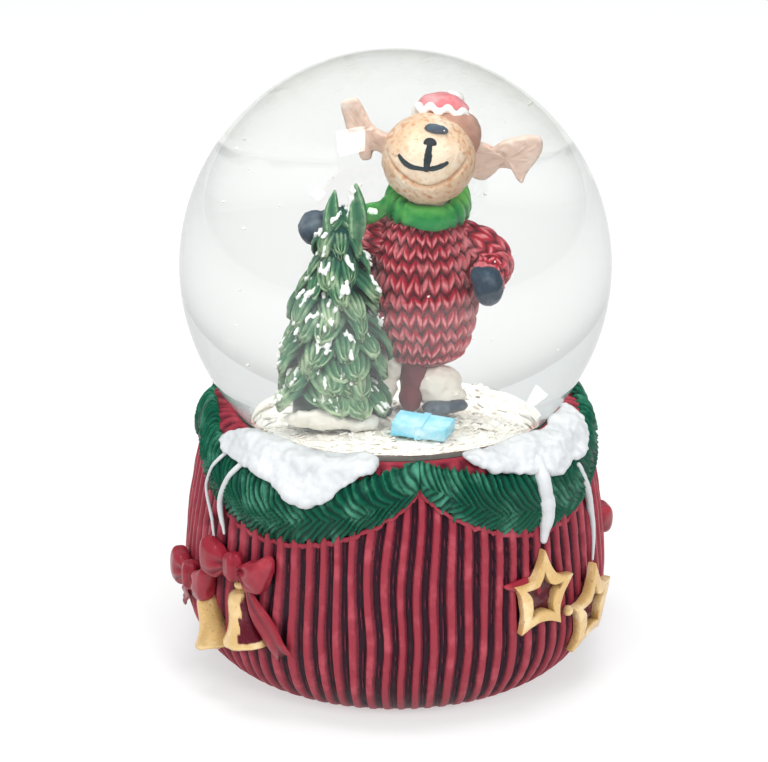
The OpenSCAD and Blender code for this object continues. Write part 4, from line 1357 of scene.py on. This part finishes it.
def softbox(name, place, aim, size, power, seen):
    """A soft lamp. One that is not seen lights the globe without a reflection in its glass."""
    light = bpy.data.lights.new(name, "AREA")
    light.shape = "RECTANGLE"
    light.size, light.size_y = size
    light.energy = power
    lamp = bpy.data.objects.new(name, light)
    lamp.location = place
    lamp.rotation_euler = (Vector(aim) - Vector(place)).to_track_quat("-Z", "Y").to_euler()
    if not seen:
        lamp.visible_glossy = False
        lamp.visible_transmission = False
    bpy.context.scene.collection.objects.link(lamp)


# Place, size, power and whether it is seen
LAMPS = {
    "overhead": ((-0.24, 0.02, 0.77), (0.17, 0.15), 0.7, True),
    "small_left": ((-0.44, -0.23, 0.58), (0.06, 0.06), 0.2, True),
    "small_front": ((-0.14, -0.47, 0.59), (0.055, 0.03), 0.1, True),
    "fill_right": ((0.38, -0.62, 0.50), (0.40, 0.36), 4.2, False),
    "fill_left": ((-0.48, -0.55, 0.42), (0.36, 0.32), 3.0, False),
    "fill_top": ((0.05, 0.05, 0.85), (0.45, 0.45), 5.0, False),
}
SKY = 0.62
SKY_LOST_IN_REFLECTIONS = -0.3
SKY_ADDED_THROUGH_THE_BALL = 0.58
TABLE_GREY = 0.36
TABLE_GLOW = 0.50
TABLE_HALF_WIDTH = 6


def studio():
    for name, (place, size, power, seen) in LAMPS.items():
        softbox(name, place, (0, 0, GLOBE_Z * MM), size, power, seen)
    world = bpy.data.worlds.new("studio")
    world.use_nodes = True
    tree = world.node_tree
    ray = node(tree, "ShaderNodeLightPath").outputs
    usual = maths(tree, "MULTIPLY_ADD", ray["Is Glossy Ray"], SKY_LOST_IN_REFLECTIONS, SKY)
    bounced = maths(tree, "ADD", ray["Glossy Depth"], ray["Diffuse Depth"], clamp=True)
    straight_through = maths(tree, "SUBTRACT", ray["Is Transmission Ray"], bounced, clamp=True)
    strength = maths(tree, "MULTIPLY_ADD", straight_through, SKY_ADDED_THROUGH_THE_BALL, usual)
    feed(tree, tree.nodes["Background"], {"Color": (0.97, 0.985, 1.0, 1), "Strength": strength})
    bpy.context.scene.world = world
    bm = bmesh.new()
    bmesh.ops.create_grid(bm, x_segments=1, y_segments=1, size=TABLE_HALF_WIDTH)
    mesh = bpy.data.meshes.new("table_top")
    bm.to_mesh(mesh)
    bm.free()
    table = bpy.data.objects.new("table_top", mesh)
    bpy.context.scene.collection.objects.link(table)
    material, tree, shader = new_material("pale_table")
    looks = {"Base Color": (TABLE_GREY, TABLE_GREY, TABLE_GREY, 1), "Roughness": 0.9, "Specular IOR Level": 0.1}
    feed(tree, shader, looks | {"Emission Color": (1, 1, 1, 1), "Emission Strength": TABLE_GLOW})
    mesh.materials.append(material)


CAMERA_BACK = 450
CAMERA_UP_ANGLE = 20
AIM_BELOW = 17.4
AIM_LEFT = 1.7
LENS = 140.15


def camera():
    """Looks at the globe from the front and a little above, aimed below the ball so that the base is in view."""
    lens = bpy.data.cameras.new("view")
    lens.sensor_width = 36
    lens.lens = LENS
    lens.clip_start, lens.clip_end = 0.01, 50
    eye = bpy.data.objects.new("view", lens)
    up_angle = radians(CAMERA_UP_ANGLE)
    back = Vector((0, -cos(up_angle), sin(up_angle)))
    up = Vector((0, sin(up_angle), cos(up_angle)))
    centre = Vector((0, 0, GLOBE_Z))
    eye.location = (centre + back * CAMERA_BACK) * MM
    target = (centre - up * AIM_BELOW + Vector((-AIM_LEFT, 0, 0))) * MM
    eye.rotation_euler = (target - eye.location).to_track_quat("-Z", "Y").to_euler()
    bpy.context.scene.collection.objects.link(eye)
    bpy.context.scene.camera = eye


# ---------------------------------------------------------------- the whole globe


def keep_cad_nodes():
    """The plain pieces that keep their own shape get their finish."""
    for name, material in (
        ("bottom_cover", "cover_black"),
        ("felt_pad", "felt_green"),
        ("rubber_stopper", "rubber_black"),
        ("seal_ring", "seal_dark"),
    ):
        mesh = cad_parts[name].data
        mesh.materials.clear()
        mesh.materials.append(MATERIALS[material])


def build_each(build, rows):
    """Builds an ornament's four pieces, from their values by node name."""
    for node_name, values in rows.items():
        build(node_name, *values)


for build in (camera, studio, keep_cad_nodes, ribbed_base):
    build()
for quarter, swag in enumerate(("front_left", "front_right", "back_right", "back_left")):
    garland(f"garland_{swag}", CUSP - 90 + 90 * quarter)
for turn, left, right in ((0, "front_left", "front_right"), (180, "back_right", "back_left")):
    snow_cap(f"snow_cap_{left}", CAP_LEFT, turn)
    snow_cap(f"snow_cap_{right}", CAP_RIGHT, turn)
for icicle_name, icicle_rows in ICICLES.items():
    icicle(icicle_name, icicle_rows)
build_each(bow, BOWS)
build_each(bell, BELLS)
clappers()
build_each(star, STARS)
for build in (star_knots, ball_of_glass, water, moulded_ground, settled_snow, afloat):
    build()
for build in (muzzle, mouth_and_nose, antlers, hat, sweater, sleeves, mittens, scarf, legs, fir_tree, rock, gift):
    build()

bpy.context.scene.view_settings.view_transform = "Standard"
